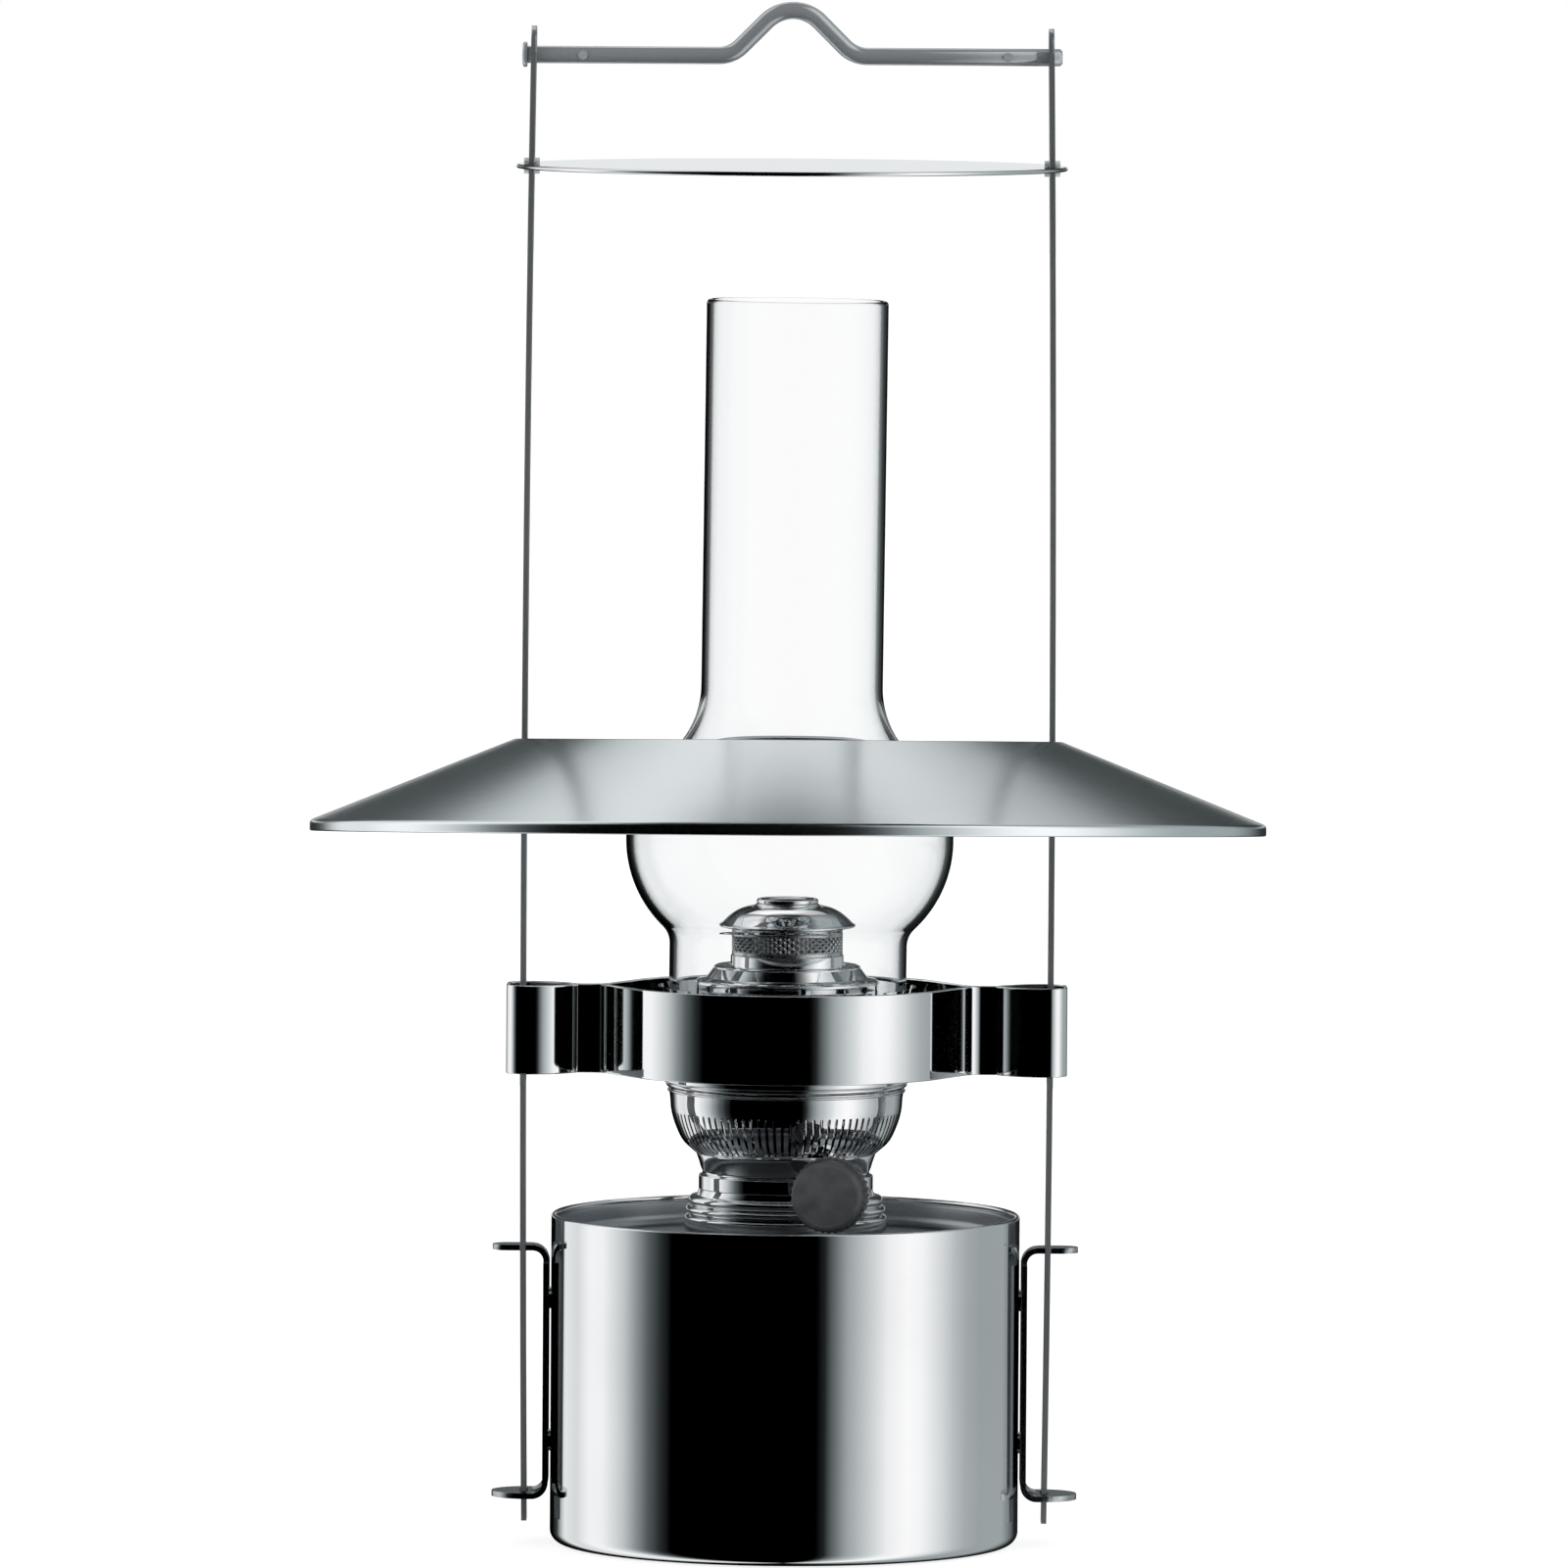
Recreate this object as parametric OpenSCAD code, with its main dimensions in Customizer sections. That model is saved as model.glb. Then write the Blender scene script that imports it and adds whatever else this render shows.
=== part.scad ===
// Hanging ship's lamp for lamp oil: a round tank with a round-wick burner and glass chimney,
// carried on two flat side strips with a shade, a smoke disc and a hanger bar.
// The origin is the centre of the tank's underside, +Z is up and +X runs from strip to strip.
// Heights below are measured from a datum plane just above the underside; on_datum() raises a part to it.

/* [Tank] */
// Outer radius of the fuel tank
tank_r = 65.6; // [64:0.1:66]
// Height of the tank from its underside to its rim
tank_h = 92.3; // [91.3:0.1:93.3]
// Sheet thickness of the tank
tank_wall = 1.5; // [1:0.1:2]
// Depth of the deck below the rim
deck_drop = 8; // [7:0.1:9]
// Radius of the edge around the underside
tank_edge_r = 3.5; // [2.5:0.5:5]

/* [Frame] */
// Half distance between the side strips at their feet
strip_x_foot = 72.8; // [72:0.1:73.5]
// Half distance between the side strips at the hanger bar
strip_x_top = 72.2; // [71.8:0.1:73]
// Outward bow of a strip half way up
strip_bow = 1.3; // [0:0.1:1.5]
// Width of a side strip
strip_w = 14; // [12:0.5:15]
// Thickness of a side strip
strip_t = 1.5; // [1.2:0.1:1.8]
// Height of the hanger bar's centre line
bar_z = 414; // [408:1:420]
// Diameter of the hanger bar
bar_d = 4.8; // [4:0.2:5.4]
// Rise of the hook hump above the straight bar
hump_rise = 12.7; // [11:0.1:14]
// Reach of a bracket's flanges from the tank's axis
bracket_reach = 82; // [80:0.5:84]

/* [Shade and disc] */
// Radius of the shade's rim
shade_r = 133.7; // [125:0.5:140]
// Radius of the shade's flat top
shade_top_r = 78.4; // [78:0.2:80]
// Radius of the hole in the shade's top
shade_hole_r = 56; // [50:1:60]
// Height of the shade's top when it hangs level
shade_top_z = 222.9; // [218:0.5:226]
// Height of the shade from its rim to its top
shade_h = 26.1; // [22:0.5:30]
// Angle at which the shade lies on its two pins, front edge up
shade_tilt = 3.5; // [0:0.5:4]
// Radius of the smoke disc
disc_r = 76.9; // [76:0.1:80]
// Height of the smoke disc's top face
disc_top_z = 383.6; // [380:0.5:386]

/* [Chimney] */
// Outer radius of the glass where it stands in the gallery
glass_foot_r = 33.2; // [33:0.1:33.4]
// Outer radius of the glass bulge
glass_bulge_r = 45.8; // [42:0.2:47]
// Outer radius of the glass neck
glass_neck_r = 25.4; // [24:0.2:27]
// Height of the chimney's top edge
glass_top_z = 346; // [330:1:350]
// Thickness of the glass
glass_t = 2; // [1.6:0.1:2.4]
// Angle at which the glass leans in its prongs, top to the right
glass_lean = 0.5; // [0:0.1:0.6]

/* [Burner] */
// Height of the wick spindle
spindle_z = 99; // [98.5:0.1:99.3]
// Angle by which the spindle points away from the front
spindle_turn = 9.4; // [8:0.1:11]
// Distance of the knob's face from the point where the spindle passes the wick
knob_reach = 46; // [44:0.5:48]
// Radius of the knob's face
knob_r = 9.9; // [9:0.1:10]
// Number of air slots around the bowl
slot_count = 90; // [60:2:90]
// Number of spring prongs that hold the chimney
prong_count = 12; // [8:1:16]

/* [Ring] */
// Height of the ring's lower edge
ring_z = 129.4; // [129.3:0.1:130]
// Height of the ring band
ring_h = 24.9; // [22:0.1:26]
// Distance of the ring's front from the axis
ring_front = 43.2; // [42:0.1:45]
// Thickness of the ring band
ring_t = 0.9; // [0.8:0.1:1]

/* [Hidden] */
$fn = 96;

// Fits
free_gap = 0.3;
running_gap = 0.05;
cut = 1;

// Tank
datum_z = 2.3;
rim_z = tank_h - datum_z;
deck_z = rim_z - deck_drop;
deck_t = 1.2;
deck_fillet = 3;
collar_bore_r = 22.4;
tank_collar_r = 26;
tank_collar_low_z = 74;
gasket_r = 27.8;
gasket_t = 1;
base_z = deck_z + gasket_t;

// Brackets and strips
bracket_t = 1.6;
bracket_bend = 3;
bracket_w = 20;
bracket_tongue_w = 9;
bracket_web_x = tank_r + 0.5;
bracket_low_z = 10.3;
bracket_high_z = 81.2;
weld_r = 3;
weld_sink = 0.05;
weld_heights = [26, 66];
strip_low_z = 3.6;
strip_tab_w = 8;
strip_shoulder_z = bracket_low_z + bracket_t + 0.2;
strip_ear_w = 20.6;
strip_ear_h = 3;
strip_steps = 16;
strip_slot_gap = 0.4;

// Pins that carry the shade and the disc
shade_t = 1;
shade_pin_r = 1;
shade_axis_z = shade_top_z - shade_t - shade_pin_r - 0.1;
shade_pin_reach = 2.3;
disc_t = 1.2;
disc_pin_r = 0.8;
disc_pin_reach = 2.2;
disc_mid_z = disc_top_z - disc_t / 2;
disc_pin_gap = 0.05;
strip_hole_w = 15.4;
strip_hole_t = strip_t + 2 * strip_slot_gap;

// Burner
thread_r = 22.1;
thread_bore_r = 20.5;
thread_low_z = 72;
collar_r = 28.3;
neck_foot_z = 95.5;
neck_r = 24.4;
neck_wall = 1;
bowl_z = 106.8;
bowl_wall = 0.9;
bowl_r = 32.6;
bowl_rim_z = 126.7;
bowl_lip_r = 33;
bowl_bead_r = 0.8;
bowl_skirt_low_z = 125.4;
slot_w = 0.85;
slot_low_z = 107.9;
slot_high_z = 119.2;
gallery_z = 127.6;
gallery_wall = 0.7;
gallery_r = 34.9;
gallery_in = 29;
gallery_waist_z = 147;
gallery_waist_r = 34.5;
gallery_flare_r = 36.1;
gallery_top_z = 154;
seat_z = 136;
seat_in = 31;
prong_root_z = 140;
prong_slot_w = 5;
prong_slot_z = 139;
cone_wall = 0.8;
cone_foot_r = 31.5;
cone_hole_r = 3.2;
cone_holes = 9;
cone_hole_z = 148.6;

// Wick and its drive
tube_r = 15.8;
tube_wall = 0.8;
tube_low_z = 92;
tube_top_z = 162.7;
inner_tube_r = 10.8;
inner_tube_wall = 0.8;
inner_tube_low_z = 70;
inner_tube_top_z = 161.5;
fin_w = 2;
fin_low_z = 112;
fin_high_z = 150;
wick_r = 14;
wick_bore_r = 11.1;
wick_low_z = 14;
wick_top_z = 157.5;
wick_slit_w = 3;
carrier_wall = 0.6;
carrier_low_z = 84;
carrier_high_z = 106;
sprocket_teeth = 10;
sprocket_pitch_r = 3.4;
sprocket_tip_r = 3.8;
sprocket_root_r = 2.5;
sprocket_w = 3;
rack_pitch = 2 * PI * sprocket_pitch_r / sprocket_teeth;
rack_line_r = 15.5;
rack_tip_r = rack_line_r + 0.4;
rack_root_r = rack_line_r - 0.7;
rack_tooth_w = 0.8;
rack_teeth = 7;
rack_w = 3.4;
window_w = 4.6;
window_high_z = 112.5;
spindle_r = 1.5;
spindle_off = rack_line_r + sprocket_pitch_r;
spindle_in = -10.4;
spindle_in_knob = 6;
gland_bore_in = 8;
gland_r = 2.9;
gland_in = 12;
gland_out = 24;
gland_nut_r = 4.6;
gland_nut_in = 21;
gland_nut_out = 27;
bearing_in = -17;
bearing_out = -7.5;
bearing_r = 2.6;
bearing_low_z = 97.2;
bearing_high_z = 100.6;
knob_len = 10;
knob_skirt_len = 5;
knob_skirt_r = 10.3;
knob_teeth = 36;
knob_tooth_h = 0.5;
knob_edge_r = 1.4;

// Flame spreader
thimble_r = 15.5;
thimble_wall = 0.6;
thimble_low_z = tube_top_z + 0.05;
thimble_high_z = 170.6;
thimble_holes = 24;
thimble_hole_w = 1.6;
stem_wall = 0.8;
stem_r = inner_tube_r - inner_tube_wall - free_gap;
stem_low_z = 150;
cap_r = 19.1;
cap_z = 170.6;
cap_top_z = 177.2;
cap_dome_r = 26;
cap_hollow_r = 12;
cap_hollow_drop = 4;
cap_hollow_t = 1.4;
button_r = 8.6;
button_t = 1.2;

// Chimney
glass_low_z = seat_z + 0.6;
glass_foot_top_z = 165.5;
glass_bulge_low_z = 195;
glass_bulge_high_z = 201;
glass_neck_z = 238;
glass_low_bend_r = 7;
glass_high_bend_r = 18;

// Hanger bar
hump_bend_r = 9;
hump_crest_r = 10.5;
hump_angle = 45;
bar_left = 74;
bar_right = 75.2;
bar_chamfer = 0.7;
// The straight stretches are this much thinner than the bends and reach this far into them
bar_step = 0.02;
bar_lap = 0.2;
head_r = 3.5;
head_t = 1.4;
stop_pin_r = 1.3;
stop_pin_reach = 3.3;
stop_pin_left_x = -58.5;
stop_pin_right_x = 60;

// Ring, half of one ear measured along +X
crease_x = 40.2;
crease_y = 21.6;
waist_x = 55;
waist_end_x = 58.6;
waist_half = 0.15;
waist_bend_r = 6;
loop_mid_x = 72.5;
loop_half = 9;
loop_end_x = 78;
loop_end_r = 5.2;
ring_weld_r = 2;

// ---- Curves ----

// Points of an arc about centre c from angle a0 to angle a1, in n steps, from its point number first
function arc(c, r, a0, a1, n = 8, first = 0) =
    [for (i = [first:n]) let (a = a0 + (a1 - a0) * i / n) c + r * [cos(a), sin(a)]];

function unit(v) = v / norm(v);

function left_of(a, b) = let (d = unit(b - a)) [-d[1], d[0]];

// Unit normal to the left of an open path at its point i
function path_normal(p, i) =
    unit((i > 0 ? left_of(p[i - 1], p[i]) : [0, 0])
        + (i < len(p) - 1 ? left_of(p[i], p[i + 1]) : [0, 0]));

// Closed outline of a sheet of thickness t that lies to the left of a path
function sheet(p, t) =
    concat(p, [for (i = [len(p) - 1:-1:0]) p[i] + t * path_normal(p, i)]);

// Path shifted to its left by d
function beside(p, d) = [for (i = [0:len(p) - 1]) p[i] + d * path_normal(p, i)];

// Rise from p0 to p1 with both ends upright: an arc of radius ra, then one that turns back
function s_curve(p0, p1, ra) =
    let (dx = p1[0] - p0[0],
         dz = p1[1] - p0[1],
         side = sign(dx),
         turn = 2 * atan(abs(dx) / dz),
         rb = dz / sin(turn) - ra)
    concat(
        arc(p0 + [side * ra, 0], ra, side > 0 ? 180 : 0, side > 0 ? 180 - turn : turn, 8),
        arc(p1 - [side * rb, 0], rb, side > 0 ? -turn : 180 + turn, side > 0 ? 0 : 180, 12, 1));

// Distance of a strip's middle plane from the axis at height z
function strip_x(z) =
    let (t = z / bar_z) strip_x_foot + (strip_x_top - strip_x_foot) * t + 4 * strip_bow * t * (1 - t);

// ---- Helpers ----

module on_datum() {
    translate([0, 0, datum_z])
        children();
}

module lathe(points) {
    rotate_extrude()
        polygon(points);
}

module tube(r, wall, z0, z1) {
    translate([0, 0, z0])
        difference() {
            cylinder(r = r, h = z1 - z0);
            translate([0, 0, -cut])
                cylinder(r = r - wall, h = z1 - z0 + 2 * cut);
        }
}

// Cylinder along X from x0 to x1 at height z
module rod_x(r, x0, x1, z) {
    translate([x0, 0, z])
        rotate([0, 90, 0])
            cylinder(r = r, h = x1 - x0);
}

module both_sides() {
    children();
    mirror([1, 0, 0])
        children();
}

// Frame of the spindle: its X runs out along the spindle, its Y away from the wick
module on_spindle(reach = 0) {
    rotate([0, 0, -90 - spindle_turn])
        translate([reach, spindle_off, spindle_z])
            children();
}

module spindle_rod(r, from, to) {
    on_spindle(from)
        rotate([0, 90, 0])
            cylinder(r = r, h = to - from);
}

// Direction from the wick's axis towards the spindle
module towards_spindle() {
    rotate([0, 0, -spindle_turn])
        children();
}

module rounded_box_2d(x0, y0, x1, y1, r) {
    translate([x0 + r, y0])
        square([x1 - x0 - 2 * r, y1 - y0]);
    translate([x0, y0 + r])
        square([x1 - x0, y1 - y0 - 2 * r]);
    for (x = [x0 + r, x1 - r], y = [y0 + r, y1 - r])
        translate([x, y])
            circle(r = r);
}

// ---- Tank ----

module tank_shell() {
    inner_edge_r = tank_edge_r - tank_wall;
    edge = [tank_r - tank_edge_r, tank_edge_r - datum_z];
    color("silver")
        lathe(concat(
            [[0, -datum_z]],
            arc(edge, tank_edge_r, -90, 0),
            [[tank_r, rim_z], [tank_r - tank_wall, rim_z]],
            arc(edge, inner_edge_r, 0, -90),
            [[0, tank_wall - datum_z]]));
}

module tank_deck() {
    wall_x = tank_r - tank_wall - deck_t;
    top = concat(
        [[wall_x, deck_z + 2 * deck_fillet]],
        arc([wall_x - deck_fillet, deck_z + deck_fillet], deck_fillet, 0, -90),
        [[collar_bore_r, deck_z]]);
    color("gainsboro")
        lathe(sheet(top, deck_t));
}

module tank_collar() {
    color("darkgoldenrod")
        tube(tank_collar_r, tank_collar_r - collar_bore_r, tank_collar_low_z, deck_z - deck_t);
}

module collar_gasket() {
    color("dimgray")
        tube(gasket_r, gasket_r - collar_bore_r - free_gap, deck_z, base_z);
}

// ---- Brackets and strips ----

module bracket() {
    outer_bend = bracket_bend + bracket_t;
    beyond = bracket_reach + 2 * outer_bend;
    tab_hole_x = strip_x(bracket_low_z);
    tab_hole_t = strip_t + 2 * strip_slot_gap;
    tab_hole_w = strip_tab_w + 2 * strip_slot_gap;
    difference() {
        intersection() {
            translate([0, bracket_w / 2, 0])
                rotate([90, 0, 0])
                    linear_extrude(bracket_w)
                        difference() {
                            rounded_box_2d(bracket_web_x, bracket_low_z,
                                beyond, bracket_high_z, outer_bend);
                            rounded_box_2d(bracket_web_x + bracket_t, bracket_low_z + bracket_t,
                                beyond + cut, bracket_high_z - bracket_t, bracket_bend);
                        }
            union() {
                bracket_plan(bracket_w, 0, bracket_high_z - outer_bend);
                bracket_plan(bracket_tongue_w, bracket_high_z - outer_bend - cut, rim_z);
            }
        }
        translate([tab_hole_x - tab_hole_t / 2, -tab_hole_w / 2, 0])
            cube([tab_hole_t, tab_hole_w, bracket_low_z + bracket_t + cut]);
    }
}

// Outline of a flange seen from above, with a round outer end
module bracket_plan(w, z0, z1) {
    end_r = w / 2;
    translate([0, 0, z0])
        linear_extrude(z1 - z0)
            intersection() {
                union() {
                    translate([0, -w / 2])
                        square([bracket_reach - end_r, w]);
                    translate([bracket_reach - end_r, 0])
                        circle(r = end_r);
                }
                translate([0, -w / 2])
                    square([bracket_reach, w]);
            }
}

module bracket_left() {
    color("lightgray")
        mirror([1, 0, 0])
            bracket();
}

module bracket_right() {
    color("lightgray")
        bracket();
}

module bracket_welds() {
    color("gray")
        both_sides()
            for (z = weld_heights)
                rod_x(weld_r, tank_r - weld_sink, bracket_web_x, z);
}

// Side view of a strip, drawn with the strip's width along x and its height along y
module strip_face() {
    end_r = strip_w / 2;
    tongue_h = bracket_t + 2 * strip_slot_gap;
    difference() {
        union() {
            translate([-strip_w / 2, strip_shoulder_z])
                square([strip_w, bar_z - strip_shoulder_z + 1]);
            translate([0, bar_z + 1])
                circle(r = end_r);
            translate([-strip_tab_w / 2, strip_low_z])
                square([strip_tab_w, strip_shoulder_z]);
            translate([-strip_ear_w / 2, ring_z - 0.1 - strip_ear_h])
                square([strip_ear_w, strip_ear_h]);
        }
        translate([0, bar_z])
            circle(r = bar_d / 2 + running_gap);
        translate([-bracket_tongue_w / 2 - strip_slot_gap, bracket_high_z - bracket_t - strip_slot_gap])
            square([bracket_tongue_w + 2 * strip_slot_gap, tongue_h]);
        translate([0, shade_axis_z])
            circle(r = shade_pin_r);
        for (z = disc_pin_heights())
            translate([0, z])
                circle(r = disc_pin_r);
    }
}

function disc_pin_heights() =
    let (off = disc_t / 2 + disc_pin_r + disc_pin_gap) [disc_mid_z - off, disc_mid_z + off];

module strip() {
    top_z = bar_z + 1 + strip_w / 2;
    heights = [for (i = [0:strip_steps]) top_z * i / strip_steps];
    edge = concat(
        [for (z = heights) [strip_x(z) - strip_t / 2, z]],
        [for (i = [strip_steps:-1:0]) [strip_x(heights[i]) + strip_t / 2, heights[i]]]);
    intersection() {
        translate([0, strip_w, 0])
            rotate([90, 0, 0])
                linear_extrude(2 * strip_w)
                    polygon(edge);
        rotate([90, 0, 90])
            linear_extrude(strip_x_foot + strip_w)
                strip_face();
    }
}

module strip_left() {
    color("darkgray")
        mirror([1, 0, 0])
            strip();
}

module strip_right() {
    color("darkgray")
        strip();
}

module shade_pins() {
    x = strip_x(shade_axis_z);
    color("gray")
        both_sides()
            rod_x(shade_pin_r, x - shade_pin_reach, x + shade_pin_reach, shade_axis_z);
}

module disc_pins() {
    x = strip_x(disc_mid_z);
    color("gray")
        both_sides()
            for (z = disc_pin_heights())
                rod_x(disc_pin_r, x - disc_pin_reach, x + disc_pin_reach, z);
}

// ---- Burner ----

module burner_base() {
    bore_r = neck_r - neck_wall;
    floor_z = base_z + 1.5;
    color("silver")
        lathe(concat(
            [[thread_bore_r, thread_low_z], [thread_r, thread_low_z], [thread_r, base_z],
             [collar_r, base_z], [collar_r, 89.6], [27.4, 90.3]],
            arc([26.9, 91.4], 1.1, -80, 80, 6),
            arc([25.8, 94], 1.5, -70, 80, 6),
            [[24.9, neck_foot_z], [bore_r, neck_foot_z], [bore_r, floor_z], [thread_bore_r, floor_z]]));
}

module burner_neck() {
    groove_r = 23.3;
    outside = [
        [24.9, neck_foot_z], [24.9, 95.9], [neck_r, 97], [neck_r, 101.3], [groove_r, 101.7],
        [groove_r, 102.1], [23.7, 102.5], [24.9, 106.2], [24.9, bowl_z]];
    color("silver")
        difference() {
            lathe(sheet(outside, neck_wall));
            spindle_rod(gland_r, gland_bore_in, knob_reach);
        }
}

module burner_bowl() {
    outside = concat(
        [[tube_r + 0.4, bowl_z], [24.6, bowl_z]],
        [[26.1, 108], [29, 110.8], [31, 114.9], [32.2, 119], [bowl_r, 123.1], [bowl_lip_r, 125.6]]);
    color("silver")
        difference() {
            union() {
                lathe(sheet(outside, bowl_wall));
                rotate_extrude()
                    translate([bowl_lip_r, bowl_rim_z])
                        circle(r = bowl_bead_r);
                tube(bowl_lip_r + bowl_bead_r / 2, 1.5 * bowl_bead_r, bowl_skirt_low_z, bowl_rim_z);
            }
            for (i = [0:slot_count - 1])
                rotate([0, 0, 360 * i / slot_count])
                    translate([neck_r + cut, -slot_w / 2, slot_low_z])
                        cube([bowl_lip_r - neck_r, slot_w, slot_high_z - slot_low_z]);
        }
}

module chimney_gallery() {
    in = [for (r = [gallery_r, gallery_waist_r, gallery_flare_r]) r - gallery_wall];
    ledge_z = seat_z - cone_wall;
    floor_z = gallery_z + cone_wall;
    color("silver")
        difference() {
            lathe([
                [gallery_in, gallery_z], [gallery_r, gallery_z], [gallery_r, prong_root_z],
                [gallery_waist_r, gallery_waist_z], [gallery_flare_r, gallery_top_z],
                [in[2], gallery_top_z], [in[1], gallery_waist_z], [in[0], prong_root_z],
                [in[0], seat_z], [seat_in, seat_z], [seat_in, ledge_z], [in[0], ledge_z],
                [in[0], floor_z], [gallery_in, floor_z]]);
            for (i = [0:prong_count - 1])
                rotate([0, 0, 360 * (i + 0.5) / prong_count])
                    translate([glass_foot_r - cut, -prong_slot_w / 2, prong_slot_z])
                        cube([gallery_flare_r - glass_foot_r + 2 * cut, prong_slot_w, gallery_top_z]);
        }
}

module air_cone() {
    outside = concat(
        [[cone_foot_r, gallery_z + cone_wall], [cone_foot_r, 129.2], [30.6, 131]],
        [[27.2, 143], [25.9, 149], [25.6, 153.4]],
        arc([24.4, 154.9], 1.3, 0, 70, 5),
        [[22.6, 156.6], [20.6, 159.2]],
        arc([19.7, 159.1], 0.9, 30, 90, 3),
        [[17.2, 160], [16.2, 159.2]]);
    color("silver")
        difference() {
            lathe(sheet(outside, cone_wall));
            for (i = [0:cone_holes - 1])
                rotate([0, 0, 360 * i / cone_holes + 10])
                    rod_x(cone_hole_r, tube_r, cone_foot_r, cone_hole_z);
        }
}

module outer_wick_tube() {
    color("silver")
        difference() {
            tube(tube_r, tube_wall, tube_low_z, tube_top_z);
            towards_spindle()
                translate([wick_bore_r, -window_w / 2, tube_low_z - cut])
                    cube([tube_r, window_w, window_high_z - tube_low_z + cut]);
        }
}

module inner_wick_tube() {
    color("goldenrod") {
        tube(inner_tube_r, inner_tube_wall, inner_tube_low_z, inner_tube_top_z);
        difference() {
            towards_spindle()
                translate([-tube_r, -fin_w / 2, fin_low_z])
                    cube([tube_r, fin_w, fin_high_z - fin_low_z]);
            translate([0, 0, fin_low_z - cut])
                cylinder(r = inner_tube_r - 0.2, h = fin_high_z - fin_low_z + 2 * cut);
            tube(2 * tube_r, tube_r + tube_wall, fin_low_z - cut, fin_high_z + cut);
        }
    }
}

module spindle_gland() {
    color("goldenrod")
        difference() {
            spindle_rod(gland_r, gland_in, gland_out);
            spindle_rod(spindle_r + running_gap, gland_in - cut, gland_out + cut);
        }
}

module gland_nut() {
    color("goldenrod")
        difference() {
            on_spindle(gland_nut_in)
                rotate([0, 90, 0])
                    cylinder(r = gland_nut_r, h = gland_nut_out - gland_nut_in, $fn = 6);
            spindle_rod(gland_r, gland_nut_in - cut, gland_out);
            spindle_rod(spindle_r + running_gap, gland_nut_in, gland_nut_out + cut);
        }
}

module spindle_bearing() {
    color("goldenrod")
        difference() {
            intersection() {
                spindle_rod(bearing_r, bearing_in, bearing_out);
                translate([0, 0, bearing_low_z])
                    cylinder(r = neck_r - neck_wall, h = bearing_high_z - bearing_low_z);
            }
            spindle_rod(spindle_r + running_gap, bearing_in - cut, bearing_out + cut);
        }
}

// ---- Wick drive ----

module spindle() {
    color("gray")
        spindle_rod(spindle_r, spindle_in, knob_reach - knob_len + spindle_in_knob);
}

module sprocket() {
    spike = 360 / sprocket_teeth;
    spike_base = 0.3 * spike;
    outline = [for (i = [0:sprocket_teeth - 1]) let (a = i * spike - 90)
        each [
            sprocket_root_r * [cos(a - spike_base), sin(a - spike_base)],
            sprocket_tip_r * [cos(a - 2), sin(a - 2)],
            sprocket_tip_r * [cos(a + 2), sin(a + 2)],
            sprocket_root_r * [cos(a + spike_base), sin(a + spike_base)]]];
    color("goldenrod")
        difference() {
            on_spindle(-sprocket_w / 2)
                rotate([90, 0, 90])
                    linear_extrude(sprocket_w)
                        polygon([for (p = outline) [p[1], p[0]]]);
            spindle_rod(spindle_r, -sprocket_w, sprocket_w);
        }
}

module knob() {
    back = knob_reach - knob_len;
    tooth = 360 / knob_teeth;
    skirt = [for (i = [0:2 * knob_teeth - 1]) let (r = knob_skirt_r + (i % 2 == 0 ? 0 : knob_tooth_h))
        r * [cos(i * tooth / 2), sin(i * tooth / 2)]];
    color("dimgray")
        difference() {
            on_spindle(back)
                rotate([0, 90, 0])
                    union() {
                        linear_extrude(knob_skirt_len)
                            polygon(skirt);
                        lathe(concat(
                            [[0, 0], [knob_r, 0]],
                            arc([knob_r - knob_edge_r, knob_len - knob_edge_r], knob_edge_r, 0, 90, 6),
                            [[0, knob_len]]));
                    }
            spindle_rod(spindle_r, back - cut, back + spindle_in_knob);
        }
}

module wick_slit(r) {
    towards_spindle()
        translate([-r - cut, -wick_slit_w / 2, 0])
            cube([r + cut, wick_slit_w, tube_top_z]);
}

// Side view of the rack, drawn with the distance from the wick's axis along x and height along y
module rack_face() {
    back = wick_r + carrier_wall / 2;
    low_z = spindle_z - rack_teeth * rack_pitch;
    gap = rack_pitch - rack_tooth_w;
    teeth = [for (i = [0:rack_teeth - 1])
        let (z = low_z + i * rack_pitch + gap / 2)
        each [
            [rack_root_r, z], [rack_tip_r, z],
            [rack_tip_r, z + rack_tooth_w], [rack_root_r, z + rack_tooth_w]]];
    polygon(concat([[back, low_z]], [[rack_root_r, low_z]], teeth,
        [[rack_root_r, spindle_z + rack_pitch / 2], [back, spindle_z + rack_pitch / 2]]));
}

module wick_carrier() {
    carrier_r = wick_r + carrier_wall;
    color("goldenrod")
        difference() {
            union() {
                tube(carrier_r, carrier_wall, carrier_low_z, carrier_high_z);
                towards_spindle()
                    translate([0, rack_w / 2, 0])
                        rotate([90, 0, 0])
                            linear_extrude(rack_w)
                                rack_face();
            }
            wick_slit(carrier_r);
        }
}

module wick() {
    color("ivory")
        difference() {
            tube(wick_r, wick_r - wick_bore_r, wick_low_z, wick_top_z);
            wick_slit(wick_r);
        }
}

// ---- Flame spreader ----

module spreader_cap() {
    lip = 0.6;
    dome_c = [0, cap_top_z - cap_dome_r + lip / 2];
    dome_edge = acos((cap_r - lip) / cap_dome_r);
    outside = concat(
        [[cap_r, cap_z], [cap_r, cap_z + 0.5]],
        [for (p = arc(dome_c, cap_dome_r, dome_edge, 72, 10)) [p[0], max(p[1], cap_z + 0.7)]],
        [[button_r - 1, cap_top_z], [0, cap_top_z]]);
    color("silver")
        lathe(concat(
            outside,
            [[0, cap_top_z - cap_hollow_t]],
            [[cap_hollow_r, cap_top_z - cap_hollow_drop], [stem_r + 1, cap_z]]));
}

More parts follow.
